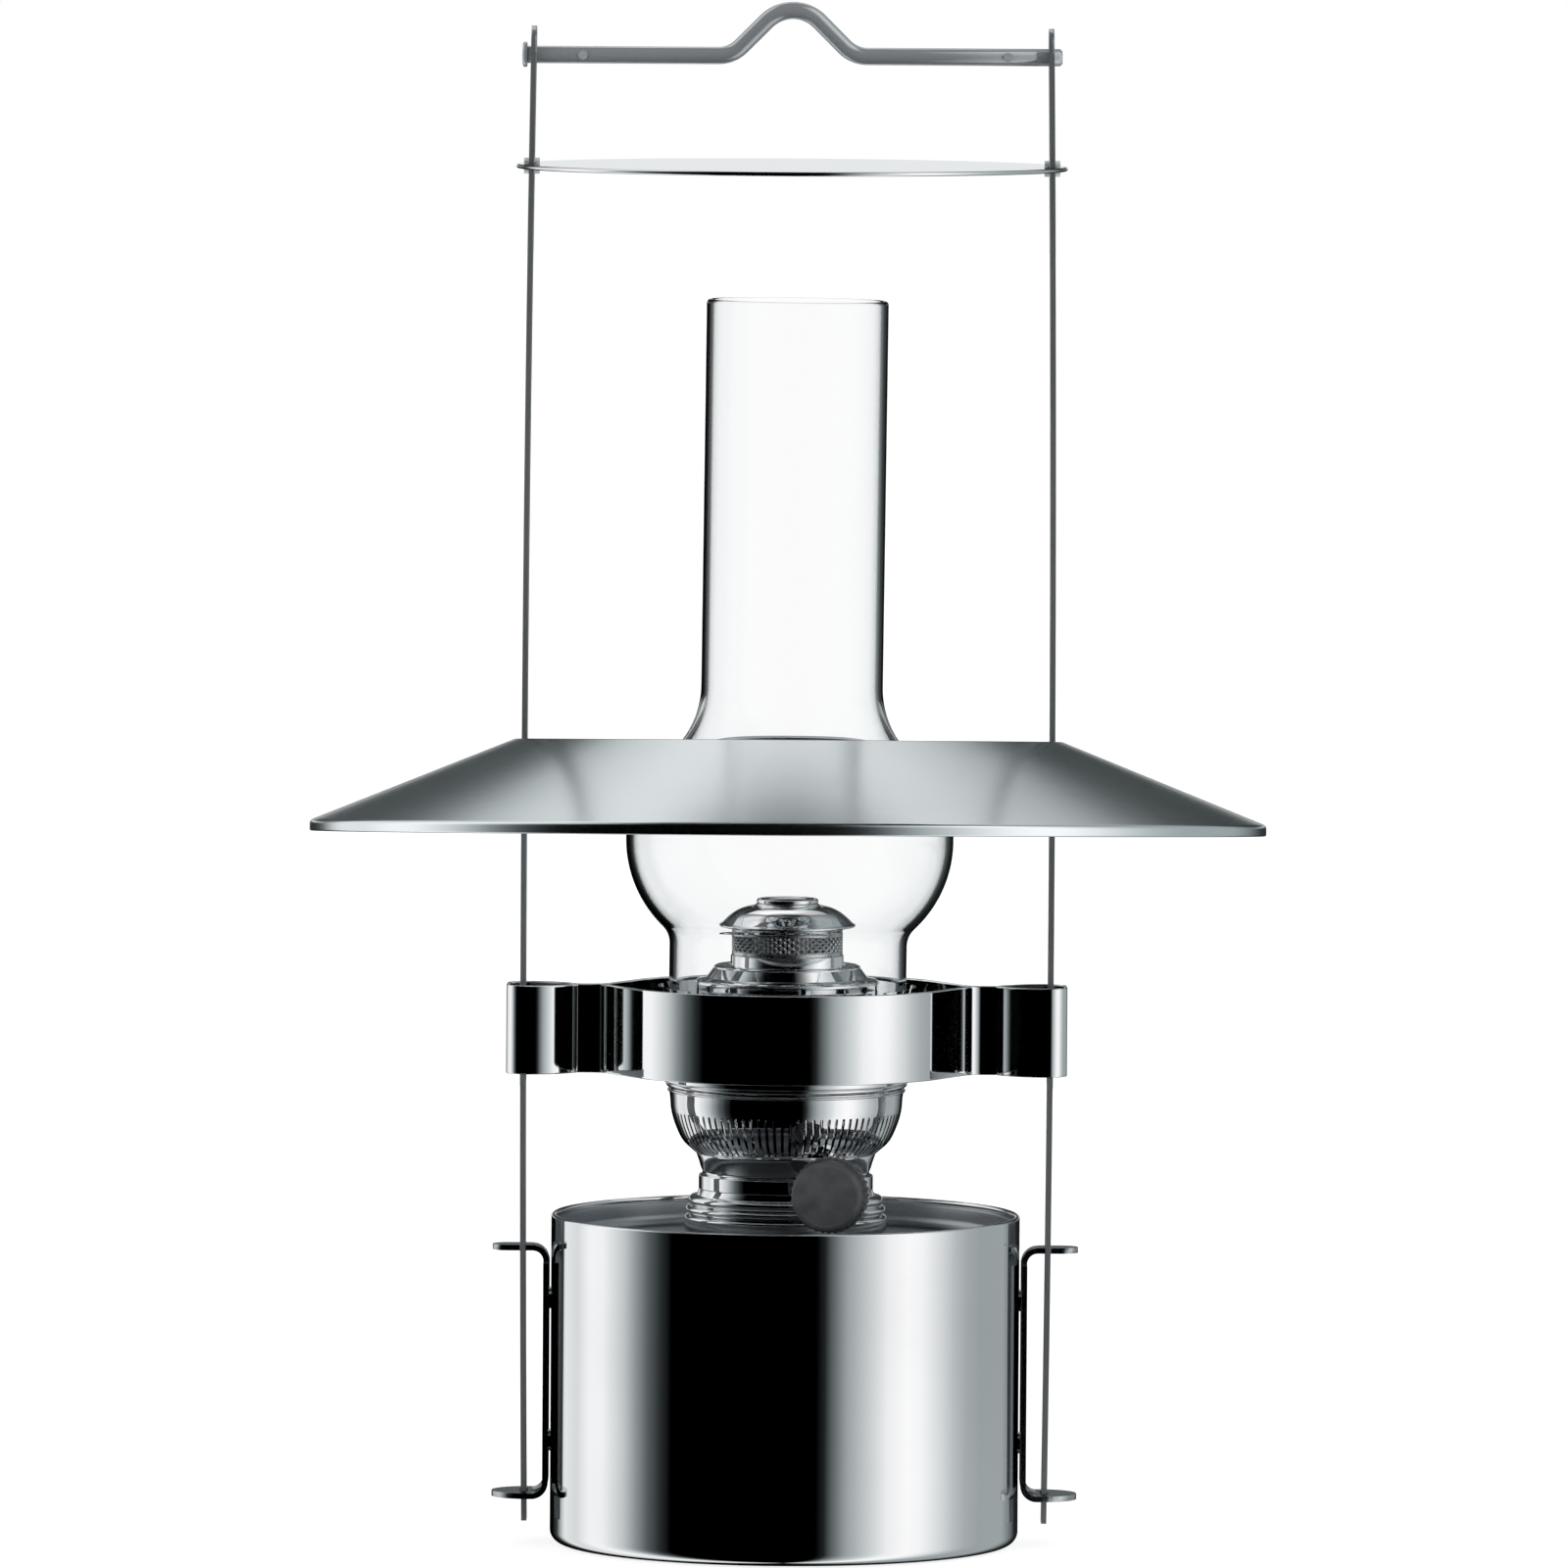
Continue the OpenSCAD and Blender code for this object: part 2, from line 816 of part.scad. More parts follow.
module spreader_button() {
    color("silver")
        lathe([
            [0, cap_top_z], [button_r - 0.5, cap_top_z], [button_r, cap_top_z + 0.4],
            [button_r, cap_top_z + button_t - 0.3], [button_r - 0.6, cap_top_z + button_t],
            [0, cap_top_z + button_t]]);
}

module spreader_thimble() {
    rows = 2;
    row_h = (thimble_high_z - thimble_low_z) / (rows + 0.5);
    color("gray")
        difference() {
            tube(thimble_r, thimble_wall, thimble_low_z, thimble_high_z);
            for (row = [0:rows - 1], i = [0:thimble_holes - 1])
                rotate([0, 0, 360 * (i + row / 2) / thimble_holes])
                    translate([thimble_r - cut, 0, thimble_low_z + (row + 0.75) * row_h])
                        rotate([45, 0, 0])
                            translate([0, -thimble_hole_w / 2, -thimble_hole_w / 2])
                                cube([2 * cut, thimble_hole_w, thimble_hole_w]);
        }
}

module spreader_stem() {
    color("goldenrod")
        tube(stem_r, stem_wall, stem_low_z, cap_z);
}

// ---- Glass ----

module chimney() {
    outside = concat(
        [[glass_foot_r, glass_low_z]],
        s_curve([glass_foot_r, glass_foot_top_z], [glass_bulge_r, glass_bulge_low_z], glass_low_bend_r),
        s_curve([glass_bulge_r, glass_bulge_high_z], [glass_neck_r, glass_neck_z], glass_high_bend_r),
        [[glass_neck_r, glass_top_z]]);
    color("lightcyan", 0.4)
        translate([0, 0, glass_low_z])
            rotate([0, glass_lean, 0])
                translate([0, 0, -glass_low_z])
                    lathe(sheet(outside, glass_t));
}

// ---- Shade and disc ----

// Holes through which the two strips pass at height z
module strip_holes(z) {
    x = strip_x(z);
    both_sides()
        translate([x - strip_hole_t / 2, -strip_hole_w / 2, z - 2 * strip_hole_t])
            cube([strip_hole_t, strip_hole_w, 4 * strip_hole_t]);
}

module shade() {
    hem_low_z = shade_top_z - shade_h;
    hem_top_z = hem_low_z + 2.1;
    hem_bend = 1.4;
    top_bend = 2.4;
    outside = concat(
        [[shade_r, hem_low_z], [shade_r, hem_top_z]],
        arc([shade_r - hem_bend, hem_top_z], hem_bend, 0, 65, 4, 1),
        arc([shade_top_r - top_bend, shade_top_z - top_bend], top_bend, 66, 90, 4),
        [[shade_hole_r, shade_top_z]]);
    color("lightgray")
        translate([0, 0, shade_axis_z])
            rotate([-shade_tilt, 0, 0])
                translate([0, 0, -shade_axis_z])
                    difference() {
                        lathe(sheet(outside, shade_t));
                        strip_holes(shade_top_z);
                    }
}

module smoke_disc() {
    color("gainsboro")
        difference() {
            translate([0, 0, disc_top_z - disc_t])
                cylinder(r = disc_r, h = disc_t);
            strip_holes(disc_top_z);
        }
}

// ---- Hanger bar ----

// A bend of the bar in the XZ plane about centre c, from angle a0 through angle a
module bar_bend(c, r, a0, a) {
    translate([c[0], 0, c[1]])
        rotate([90, 0, 0])
            rotate([0, 0, a0])
                rotate_extrude(angle = a)
                    translate([r, 0])
                        circle(d = bar_d);
}

module hanger_bar() {
    bend_rise = (hump_bend_r + hump_crest_r) * (1 - cos(hump_angle));
    limb = (hump_rise - bend_rise) / sin(hump_angle);
    bend_run = hump_bend_r * sin(hump_angle);
    hump_half = bend_run + limb * cos(hump_angle) + hump_crest_r * sin(hump_angle);
    limb_low = [hump_half - bend_run, hump_bend_r * (1 - cos(hump_angle))];
    straight_d = bar_d - bar_step;
    color("darkgray")
        difference() {
            translate([0, 0, bar_z])
                union() {
                    bar_bend([0, hump_rise - hump_crest_r], hump_crest_r, 90 - hump_angle, 2 * hump_angle);
                    both_sides() {
                        bar_bend([hump_half, hump_bend_r], hump_bend_r, -90 - hump_angle, hump_angle);
                        translate([limb_low[0], 0, limb_low[1]])
                            rotate([0, -hump_angle, 0])
                                translate([0, 0, -bar_lap])
                                    cylinder(d = straight_d, h = limb + 2 * bar_lap);
                    }
                    rod_x(straight_d / 2, -bar_left, bar_lap - hump_half, 0);
                    rod_x(straight_d / 2, hump_half - bar_lap, bar_right - bar_chamfer, 0);
                    translate([bar_right - bar_chamfer, 0, 0])
                        rotate([0, 90, 0])
                            cylinder(d1 = straight_d, d2 = straight_d - 2 * bar_chamfer, h = bar_chamfer);
                }
            for (x = [stop_pin_left_x, stop_pin_right_x])
                stop_pin(x);
        }
}

module stop_pin(x) {
    translate([x, stop_pin_reach, bar_z])
        rotate([90, 0, 0])
            cylinder(r = stop_pin_r, h = 2 * stop_pin_reach);
}

module hanger_head() {
    color("darkgray")
        rod_x(head_r, -bar_left - head_t, -bar_left, bar_z);
}

module stop_pins() {
    color("gray")
        for (x = [stop_pin_left_x, stop_pin_right_x])
            stop_pin(x);
}

// ---- Ring ----

// Middle line of the band from the middle of the front to the outer end of the ear at +X
function ring_half_path() =
    let (arc_r = (pow(crease_x, 2) + pow(ring_front - crease_y, 2)) / (2 * (ring_front - crease_y)),
         arc_cy = arc_r - ring_front,
         crease_turn = asin(crease_x / arc_r),
         waist_y = -waist_half - ring_t / 2,
         flank = atan2(waist_y - waist_bend_r * 0.35 + crease_y, waist_x - waist_bend_r - crease_x),
         loop_turn = 2 * atan((loop_half + waist_y) / (loop_mid_x - waist_end_x)),
         loop_r = (loop_mid_x - waist_end_x) / sin(loop_turn))
    concat(
        arc([0, arc_cy], arc_r, -90, -90 + crease_turn, 14),
        arc([waist_x, waist_y - waist_bend_r], waist_bend_r, 90 + min(flank, 80), 90, 8),
        arc([loop_mid_x, loop_r - loop_half], loop_r, -90 - loop_turn, -90, 12),
        arc([loop_end_x - loop_end_r, loop_end_r - loop_half], loop_end_r, -80, 0, 7),
        [[loop_end_x, 0]]);

module ring_half() {
    right = ring_half_path();
    last = len(right) - 1;
    line = concat([for (i = [last:-1:1]) [-right[i][0], right[i][1]]], right);
    translate([0, 0, ring_z])
        linear_extrude(ring_h)
            polygon(sheet(beside(line, -ring_t / 2), ring_t));
}

module ring_front_band() {
    color("silver")
        ring_half();
}

module ring_back_band() {
    color("silver")
        mirror([0, 1, 0])
            ring_half();
}

module ring_welds() {
    color("gray")
        both_sides()
            for (z = [ring_z + ring_h / 4, ring_z + 3 * ring_h / 4])
                translate([(waist_x + waist_end_x) / 2, waist_half, z])
                    rotate([90, 0, 0])
                        cylinder(r = ring_weld_r, h = 2 * waist_half);
}

on_datum() tank_shell();
on_datum() tank_deck();
on_datum() tank_collar();
on_datum() collar_gasket();
on_datum() bracket_left();
on_datum() bracket_right();
on_datum() bracket_welds();
on_datum() strip_left();
on_datum() strip_right();
on_datum() shade_pins();
on_datum() disc_pins();
on_datum() burner_base();
on_datum() burner_neck();
on_datum() burner_bowl();
on_datum() chimney_gallery();
on_datum() air_cone();
on_datum() outer_wick_tube();
on_datum() inner_wick_tube();
on_datum() spindle_gland();
on_datum() gland_nut();
on_datum() spindle_bearing();
on_datum() spindle();
on_datum() sprocket();
on_datum() knob();
on_datum() wick_carrier();
on_datum() wick();
on_datum() spreader_cap();
on_datum() spreader_button();
on_datum() spreader_thimble();
on_datum() spreader_stem();
on_datum() chimney();
on_datum() shade();
on_datum() smoke_disc();
on_datum() hanger_bar();
on_datum() hanger_head();
on_datum() stop_pins();
on_datum() ring_front_band();
on_datum() ring_back_band();
on_datum() ring_welds();
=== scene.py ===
"""Looks of the hanging ship's lamp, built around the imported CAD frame."""

import math

import bpy
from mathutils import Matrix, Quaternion, Vector


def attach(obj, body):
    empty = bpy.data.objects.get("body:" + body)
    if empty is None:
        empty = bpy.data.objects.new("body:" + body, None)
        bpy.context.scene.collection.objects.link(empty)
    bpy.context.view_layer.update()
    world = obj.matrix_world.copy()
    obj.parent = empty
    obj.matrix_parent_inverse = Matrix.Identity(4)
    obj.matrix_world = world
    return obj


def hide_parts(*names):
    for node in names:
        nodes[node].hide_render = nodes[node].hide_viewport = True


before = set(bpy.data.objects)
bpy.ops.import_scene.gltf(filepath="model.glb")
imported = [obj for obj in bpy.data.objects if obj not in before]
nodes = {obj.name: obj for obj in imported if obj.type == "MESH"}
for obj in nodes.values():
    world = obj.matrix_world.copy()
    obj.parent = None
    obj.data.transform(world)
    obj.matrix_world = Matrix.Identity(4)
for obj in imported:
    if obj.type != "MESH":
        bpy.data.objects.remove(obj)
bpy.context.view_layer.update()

MM = 0.001
MICRON = 0.000001
# Creases sharper than this many degrees stay sharp
SHARP_ANGLE = 32
# Heights below are measured from a datum plane this far above the tank's underside
DATUM_Z = 2.3


# ---------------------------------------------------------------- curves, all in millimetres

def arc(centre, radius, start, end, steps, first=0):
    """Points of an arc about centre from angle start to angle end, in degrees."""
    points = []
    for i in range(first, steps + 1):
        angle = math.radians(start + (end - start) * i / steps)
        points.append((centre[0] + radius * math.cos(angle), centre[1] + radius * math.sin(angle)))
    return points


def left_normal(a, b):
    """Unit vector to the left of the way from a to b."""
    dx, dy = b[0] - a[0], b[1] - a[1]
    length = math.hypot(dx, dy)
    return (-dy / length, dx / length)


def beside(path, distance):
    """An open path shifted to its left."""
    shifted = []
    for i, point in enumerate(path):
        sides = []
        if i > 0:
            sides.append(left_normal(path[i - 1], point))
        if i < len(path) - 1:
            sides.append(left_normal(point, path[i + 1]))
        nx = sum(s[0] for s in sides)
        ny = sum(s[1] for s in sides)
        length = math.hypot(nx, ny)
        shifted.append((point[0] + distance * nx / length, point[1] + distance * ny / length))
    return shifted


def smooth_path(points, steps):
    """A Catmull-Rom curve through the points."""
    curve = []
    last = len(points) - 1
    for i in range(last):
        p0, p1 = points[max(i - 1, 0)], points[i]
        p2, p3 = points[i + 1], points[min(i + 2, last)]
        for k in range(steps):
            t = k / steps
            curve.append(tuple(
                0.5 * (2 * p1[d] + (p2[d] - p0[d]) * t
                       + (2 * p0[d] - 5 * p1[d] + 4 * p2[d] - p3[d]) * t * t
                       + (3 * p1[d] - p0[d] - 3 * p2[d] + p3[d]) * t ** 3)
                for d in range(2)))
    curve.append(points[-1])
    return curve


def sheet(path, thickness, lip=4):
    """Closed outline of a sheet to the left of a path, with round ends."""
    far = beside(path, thickness)
    outline = list(path)
    for near, other in ((path[-1], far[-1]), (far[0], path[0])):
        centre = ((near[0] + other[0]) / 2, (near[1] + other[1]) / 2)
        begin = math.degrees(math.atan2(near[1] - centre[1], near[0] - centre[0]))
        outline += arc(centre, thickness / 2, begin, begin + 180, 2 * lip, 1)[:-1]
        if near == path[-1]:
            outline += far[::-1]
    return outline


def s_curve(p0, p1, ra):
    """Rise from p0 to p1 with both ends upright: an arc of radius ra, then one that turns back."""
    dx, dz = p1[0] - p0[0], p1[1] - p0[1]
    turn = 2 * math.degrees(math.atan(abs(dx) / dz))
    rb = dz / math.sin(math.radians(turn)) - ra
    if dx > 0:
        first = arc((p0[0] + ra, p0[1]), ra, 180, 180 - turn, 20)
        second = arc((p1[0] - rb, p1[1]), rb, -turn, 0, 30, 1)
    else:
        first = arc((p0[0] - ra, p0[1]), ra, 0, turn, 20)
        second = arc((p1[0] + rb, p1[1]), rb, 180 + turn, 180, 30, 1)
    return first + second


def with_support(outline, near=0.35, long=3):
    """The outline with extra points just inside the ends of its long straight stretches."""
    points = []
    count = len(outline)
    for i, a in enumerate(outline):
        b = outline[(i + 1) % count]
        length = math.hypot(b[0] - a[0], b[1] - a[1])
        points.append(a)
        if length > long:
            for share in (near / length, 1 - near / length):
                points.append((a[0] + (b[0] - a[0]) * share, a[1] + (b[1] - a[1]) * share))
    return points


# ---------------------------------------------------------------- meshes

def placed(points):
    """Points in metres, from millimetres above the datum plane."""
    return [(x * MM, y * MM, (z + DATUM_Z) * MM) for x, y, z in points]


def add_piece(name, points, faces, body, material, replaced=(), slot=None, sharp=SHARP_ANGLE):
    """A mesh from points in millimetres, smooth except at creases sharper than sharp degrees."""
    mesh = bpy.data.meshes.new(name)
    mesh.from_pydata(placed(points), [], faces)
    mesh.validate()
    mesh.polygons.foreach_set("use_smooth", [True] * len(mesh.polygons))
    mesh.set_sharp_from_angle(angle=math.radians(sharp))
    mesh.materials.append(material)
    piece = bpy.data.objects.new(name, mesh)
    bpy.context.scene.collection.objects.link(piece)
    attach(piece, body)
    if replaced:
        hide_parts(*replaced)
    return piece


def lathe_mesh(outline, steps=192):
    """A closed outline of (radius, height) turned around the Z axis."""
    points, rings, faces = [], [], []
    for r, z in outline:
        if r < 1e-6:
            rings.append([len(points)])
            points.append((0, 0, z))
        else:
            rings.append(list(range(len(points), len(points) + steps)))
            for k in range(steps):
                angle = 2 * math.pi * k / steps
                points.append((r * math.cos(angle), r * math.sin(angle), z))
    for i, lower in enumerate(rings):
        upper = rings[(i + 1) % len(rings)]
        if len(lower) == 1 and len(upper) == 1:
            continue
        for k in range(steps):
            n = (k + 1) % steps
            if len(lower) == 1:
                faces.append((lower[0], upper[n], upper[k]))
            elif len(upper) == 1:
                faces.append((lower[k], lower[n], upper[0]))
            else:
                faces.append((lower[k], lower[n], upper[n], upper[k]))
    return points, faces


def moved(points, change):
    """The points after change(x, y, z) has been applied to each."""
    return [change(*p) for p in points]


def windowed_lathe(path, thickness, period_count, half_angle, open_from, open_to, plain=3):
    """A turned sheet with one long rounded slot in each of period_count equal parts."""
    inner = beside(path, thickness)
    heights = [p[1] for p in path]
    rows = len(path)
    cut_rows = [i for i in range(rows) if open_from <= heights[i] <= open_to]
    first, last = cut_rows[0], cut_rows[-1]
    period = 2 * math.pi / period_count
    columns = []
    for part in range(period_count):
        centre = part * period
        columns += [(centre, -1), (centre, 1)]
        gap = period - 2 * half_angle
        for k in range(1, plain):
            columns.append((centre + half_angle + gap * k / plain, 0))
    end_round = (open_to - open_from) * 0.07
    least_width = 0.35

    def narrowing(i):
        """Share of the slot's full width that is open at row i, for its rounded ends."""
        if i < first or i > last:
            return 1
        edge = min(heights[i] - open_from, open_to - heights[i])
        if edge >= end_round:
            return 1
        return max(least_width, math.sqrt(1 - (1 - edge / end_round) ** 2))

    points = []
    for side in (path, inner):
        for i, (r, z) in enumerate(side):
            for angle, edge in columns:
                a = angle + edge * half_angle * narrowing(i)
                points.append((r * math.cos(a), r * math.sin(a), z))
    n = len(columns)

    def at(side, i, k):
        return side * rows * n + i * n + k % n

    faces = []
    for i in range(rows - 1):
        for k in range(n):
            is_open = first <= i < last and columns[k][1] == -1
            if is_open:
                continue
            faces.append((at(0, i, k), at(0, i, k + 1), at(0, i + 1, k + 1), at(0, i + 1, k)))
            faces.append((at(1, i, k), at(1, i + 1, k), at(1, i + 1, k + 1), at(1, i, k + 1)))
    for i in (0, rows - 1):
        for k in range(n):
            quad = (at(0, i, k), at(1, i, k), at(1, i, k + 1), at(0, i, k + 1))
            faces.append(quad if i == 0 else quad[::-1])
    for k in range(n):
        if columns[k][1] != -1:
            continue
        for i in range(first, last):
            faces.append((at(0, i, k), at(1, i, k), at(1, i + 1, k), at(0, i + 1, k))[::-1])
            faces.append((at(0, i, k + 1), at(1, i, k + 1), at(1, i + 1, k + 1), at(0, i + 1, k + 1)))
        for i in (first, last):
            quad = (at(0, i, k), at(1, i, k), at(1, i, k + 1), at(0, i, k + 1))
            faces.append(quad[::-1] if i == first else quad)
    return points, faces


def tube_mesh(path, radii, steps=32):
    """A round bar that follows a path in the XZ plane, with a radius for each point."""
    points, faces = [], []
    last = len(path) - 1
    for i, (x, z) in enumerate(path):
        before, after = path[max(i - 1, 0)], path[min(i + 1, last)]
        nx, nz = left_normal(before, after)
        for k in range(steps):
            angle = 2 * math.pi * k / steps
            across = radii[i] * math.cos(angle)
            points.append((x + nx * across, radii[i] * math.sin(angle), z + nz * across))
    for i in range(last):
        for k in range(steps):
            n = (k + 1) % steps
            faces.append((i * steps + k, i * steps + n, (i + 1) * steps + n, (i + 1) * steps + k))
    faces.append(tuple(range(steps))[::-1])
    faces.append(tuple(last * steps + k for k in range(steps)))
    return points, faces


def band_mesh(path, thickness, z0, z1, edge=0.28, edge_steps=3):
    """A closed upright band of sheet around a closed plan path, with rounded edges."""
    count = len(path)
    half = thickness / 2
    section = []
    for cx, cz, start in ((half - edge, z0 + edge, -90), (half - edge, z1 - edge, 0),
                          (edge - half, z1 - edge, 90), (edge - half, z0 + edge, 180)):
        section += arc((cx, cz), edge, start, start + 90, edge_steps)
    section = with_support(section)
    points, faces = [], []
    for i, (x, y) in enumerate(path):
        nx, ny = left_normal(path[i - 1], path[(i + 1) % count])
        for across, z in section:
            points.append((x - nx * across, y - ny * across, z))
    m = len(section)
    for i in range(count):
        n = (i + 1) % count
        for k in range(m):
            j = (k + 1) % m
            faces.append((i * m + k, n * m + k, n * m + j, i * m + j))
    return points, faces


# ---------------------------------------------------------------- materials

class Nodes:
    """Short names for building one material's nodes."""

    def __init__(self, name):
        self.material = bpy.data.materials.new(name)
        self.material.use_nodes = True
        self.tree = self.material.node_tree
        self.shader = self.tree.nodes["Principled BSDF"]
        self.place = self.add("ShaderNodeTexCoord").outputs["Object"]

    def add(self, kind, **settings):
        node = self.tree.nodes.new(kind)
        for key, value in settings.items():
            setattr(node, key, value)
        return node

    def link(self, source, target):
        self.tree.links.new(source, target)

    def stretched(self, scale):
        """The place on the object in metres, scaled along X, Y and Z."""
        mapping = self.add("ShaderNodeMapping")
        mapping.inputs["Scale"].default_value = scale
        self.link(self.place, mapping.inputs["Vector"])
        return mapping.outputs["Vector"]

    def around(self, along, across, up):
        """Place measured around the Z axis: arc share, radius and height, each scaled."""
        split = self.add("ShaderNodeSeparateXYZ")
        self.link(self.place, split.inputs[0])
        angle = self.math("ARCTAN2", split.outputs["Y"], split.outputs["X"])
        radius = self.add("ShaderNodeVectorMath", operation="LENGTH")
        flat = self.add("ShaderNodeCombineXYZ")
        self.link(split.outputs["X"], flat.inputs["X"])
        self.link(split.outputs["Y"], flat.inputs["Y"])
        self.link(flat.outputs[0], radius.inputs[0])
        joined = self.add("ShaderNodeCombineXYZ")
        self.link(self.math("MULTIPLY", angle, along), joined.inputs["X"])
        self.link(self.math("MULTIPLY", radius.outputs["Value"], across), joined.inputs["Y"])
        self.link(self.math("MULTIPLY", split.outputs["Z"], up), joined.inputs["Z"])
        return joined.outputs[0]

    def math(self, operation, a, b):
        node = self.add("ShaderNodeMath", operation=operation)
        for socket, value in zip(node.inputs, (a, b)):
            if isinstance(value, (int, float)):
                socket.default_value = value
            else:
                self.link(value, socket)
        return node.outputs[0]

    def noise(self, vector, detail, roughness=0.5):
        node = self.add("ShaderNodeTexNoise")
        node.inputs["Scale"].default_value = 1.0
        node.inputs["Detail"].default_value = detail
        node.inputs["Roughness"].default_value = roughness
        self.link(vector, node.inputs["Vector"])
        return node.outputs["Fac"]

    def span(self, value, low, high, from_low=0.3, from_high=0.7):
        """A value between from_low and from_high, spread between low and high."""
        node = self.add("ShaderNodeMapRange")
        node.inputs["From Min"].default_value = from_low
        node.inputs["From Max"].default_value = from_high
        node.inputs["To Min"].default_value = low
        node.inputs["To Max"].default_value = high
        self.link(value, node.inputs["Value"])
        return node.outputs["Result"]

    def blend(self, share, a, b):
        node = self.add("ShaderNodeMix", data_type="RGBA")
        self.link(share, node.inputs["Factor"])
        for socket, value in ((node.inputs["A"], a), (node.inputs["B"], b)):
            if isinstance(value, tuple):
                socket.default_value = (*value, 1)
            else:
                self.link(value, socket)
        return node.outputs["Result"]

    def bump(self, height, depth, strength=1.0):
        """Bump whose full height is depth microns."""
        node = self.add("ShaderNodeBump")
        node.inputs["Strength"].default_value = strength
        node.inputs["Distance"].default_value = depth * MICRON
        self.link(height, node.inputs["Height"])
        return node.outputs["Normal"]

    def set(self, **values):
        """Sets or links the shader's sockets; underscores stand for spaces."""
        for key, value in values.items():
            socket = self.shader.inputs[key.replace("_", " ")]
            if isinstance(value, (int, float)):
                socket.default_value = value
            elif isinstance(value, tuple):
                socket.default_value = (*value, 1) if len(value) == 3 else value
            else:
                self.link(value, socket)


def metal(name, dark, light, rough, smear, grain, depth, grain_share=0.35, metallic=1.0):
    """Metal: base colour between dark and light, a roughness range, smears and a fine grain.

    The grain is depth microns deep and has grain_share of the colour's changes. Metallic below 1
    leaves a share of plain grey.
    """
    n = Nodes(name)
    cloud = n.noise(n.stretched((22, 22, 22)), 4.0)
    lines = n.noise(grain(n), 3.0, 0.65)
    tone = n.math("ADD", n.math("MULTIPLY", cloud, 1 - grain_share), n.math("MULTIPLY", lines, grain_share))
    n.set(
        Base_Color=n.blend(n.span(tone, 0.0, 1.0), dark, light),
        Metallic=metallic,
        Roughness=n.math("ADD", n.span(lines, rough[0], rough[1]), n.span(cloud, 0.0, smear, 0.45, 0.75)),
        Normal=n.bump(lines, depth),
    )
    return n.material


def turned(n):
    """The rings that a lathe leaves around the Z axis."""
    return n.around(1.2, 900, 2600)


def polished_around(n):
    """The coarser marks that polishing leaves around the Z axis."""
    return n.around(3.0, 400, 1400)


def along_z(n):
    return n.stretched((3000, 3000, 60))


def along_x(n):
    return n.stretched((60, 3000, 3000))


def every_way(n):
    return n.stretched((1400, 1400, 1400))


polished_steel = metal(
    "polished_steel", (0.82, 0.83, 0.84), (0.88, 0.89, 0.90),
    rough=(0.02, 0.03), smear=0.015, grain=polished_around, depth=0.1, grain_share=0.12)
ring_steel = metal(
    "ring_steel", (0.82, 0.83, 0.84), (0.88, 0.89, 0.90),
    rough=(0.05, 0.06), smear=0.015, grain=polished_around, depth=0.1, grain_share=0.12)
shade_steel = metal(
    "shade_steel", (0.84, 0.88, 0.90), (0.90, 0.94, 0.96),
    rough=(0.18, 0.20), smear=0.02, grain=turned, depth=0.2, grain_share=0.15)
deck_steel = metal(
    "deck_steel", (0.30, 0.32, 0.34), (0.40, 0.42, 0.44),
    rough=(0.26, 0.32), smear=0.05, grain=turned, depth=1)
chrome = metal(
    "burner_chrome", (0.84, 0.85, 0.86), (0.91, 0.91, 0.92),
    rough=(0.02, 0.035), smear=0.02, grain=polished_around, depth=0.2)
satin_strip = metal(
    "satin_strip", (0.46, 0.49, 0.51), (0.58, 0.61, 0.63),
    rough=(0.26, 0.32), smear=0.05, grain=along_z, depth=0.3, metallic=0.85)
satin_bar = metal(
    "satin_bar", (0.44, 0.47, 0.49), (0.54, 0.57, 0.59),
    rough=(0.08, 0.12), smear=0.03, grain=along_x, depth=0.1, metallic=0.6)
satin_pin = metal(
    "satin_pin", (0.60, 0.63, 0.65), (0.74, 0.77, 0.79),
    rough=(0.20, 0.28), smear=0.05, grain=every_way, depth=1, metallic=0.6)
bracket_steel = metal(
    "bracket_steel", (0.40, 0.42, 0.44), (0.52, 0.54, 0.56),
    rough=(0.16, 0.22), smear=0.05, grain=every_way, depth=0.3)
# Painted highlight: a paler copy of the pin steel for the disc's pins, so that they read light although
# they sit in the disc's shade
pale_painted_pin = metal(
    "pale_painted_pin", (0.80, 0.82, 0.83), (0.88, 0.90, 0.91),
    rough=(0.20, 0.28), smear=0.05, grain=every_way, depth=1, metallic=0.2)
mesh_steel = metal(
    "mesh_steel", (0.46, 0.47, 0.48), (0.70, 0.71, 0.72),
    rough=(0.18, 0.30), smear=0.08, grain=every_way, depth=4)
brass = metal(
    "burner_brass", (0.58, 0.40, 0.16), (0.82, 0.62, 0.30),
    rough=(0.14, 0.26), smear=0.12, grain=every_way, depth=5)


def clear_glass():
    n = Nodes("clear_glass")
    dust = n.noise(n.stretched((160, 160, 60)), 5.0, 0.6)
    waves = n.noise(n.stretched((26, 26, 9)), 2.0)
    # Base colour darker toward grazing angles: painted shade, drawing the dark outlines at the edges of the
    # glass wall
    facing = n.add("ShaderNodeLayerWeight")
    facing.inputs["Blend"].default_value = 0.25
    n.set(
        Base_Color=n.blend(facing.outputs["Facing"], (1.0, 1.0, 1.0), (0.84, 0.88, 0.90)),
        Roughness=n.span(dust, 0.0, 0.01, 0.55, 0.8),
        Transmission_Weight=1.0,
        IOR=1.22,
        Normal=n.bump(waves, 6),
    )
    return n.material


def knob_plastic():
    n = Nodes("knob_plastic")
    grain = n.noise(n.stretched((2600, 2600, 2600)), 2.0)
    wear = n.noise(n.stretched((260, 260, 260)), 4.0)
    n.set(
        Base_Color=n.blend(n.span(wear, 0.0, 1.0), (0.050, 0.053, 0.057), (0.075, 0.078, 0.083)),
        Roughness=n.span(wear, 0.38, 0.52),
        Specular_IOR_Level=0.45,
        Normal=n.bump(grain, 60, 0.7),
    )
    return n.material


# The wick is burnt black from the upper height up, and grows pale down to the lower one, in metres
CHAR_LOW_Z, CHAR_HIGH_Z = 0.1525, 0.16


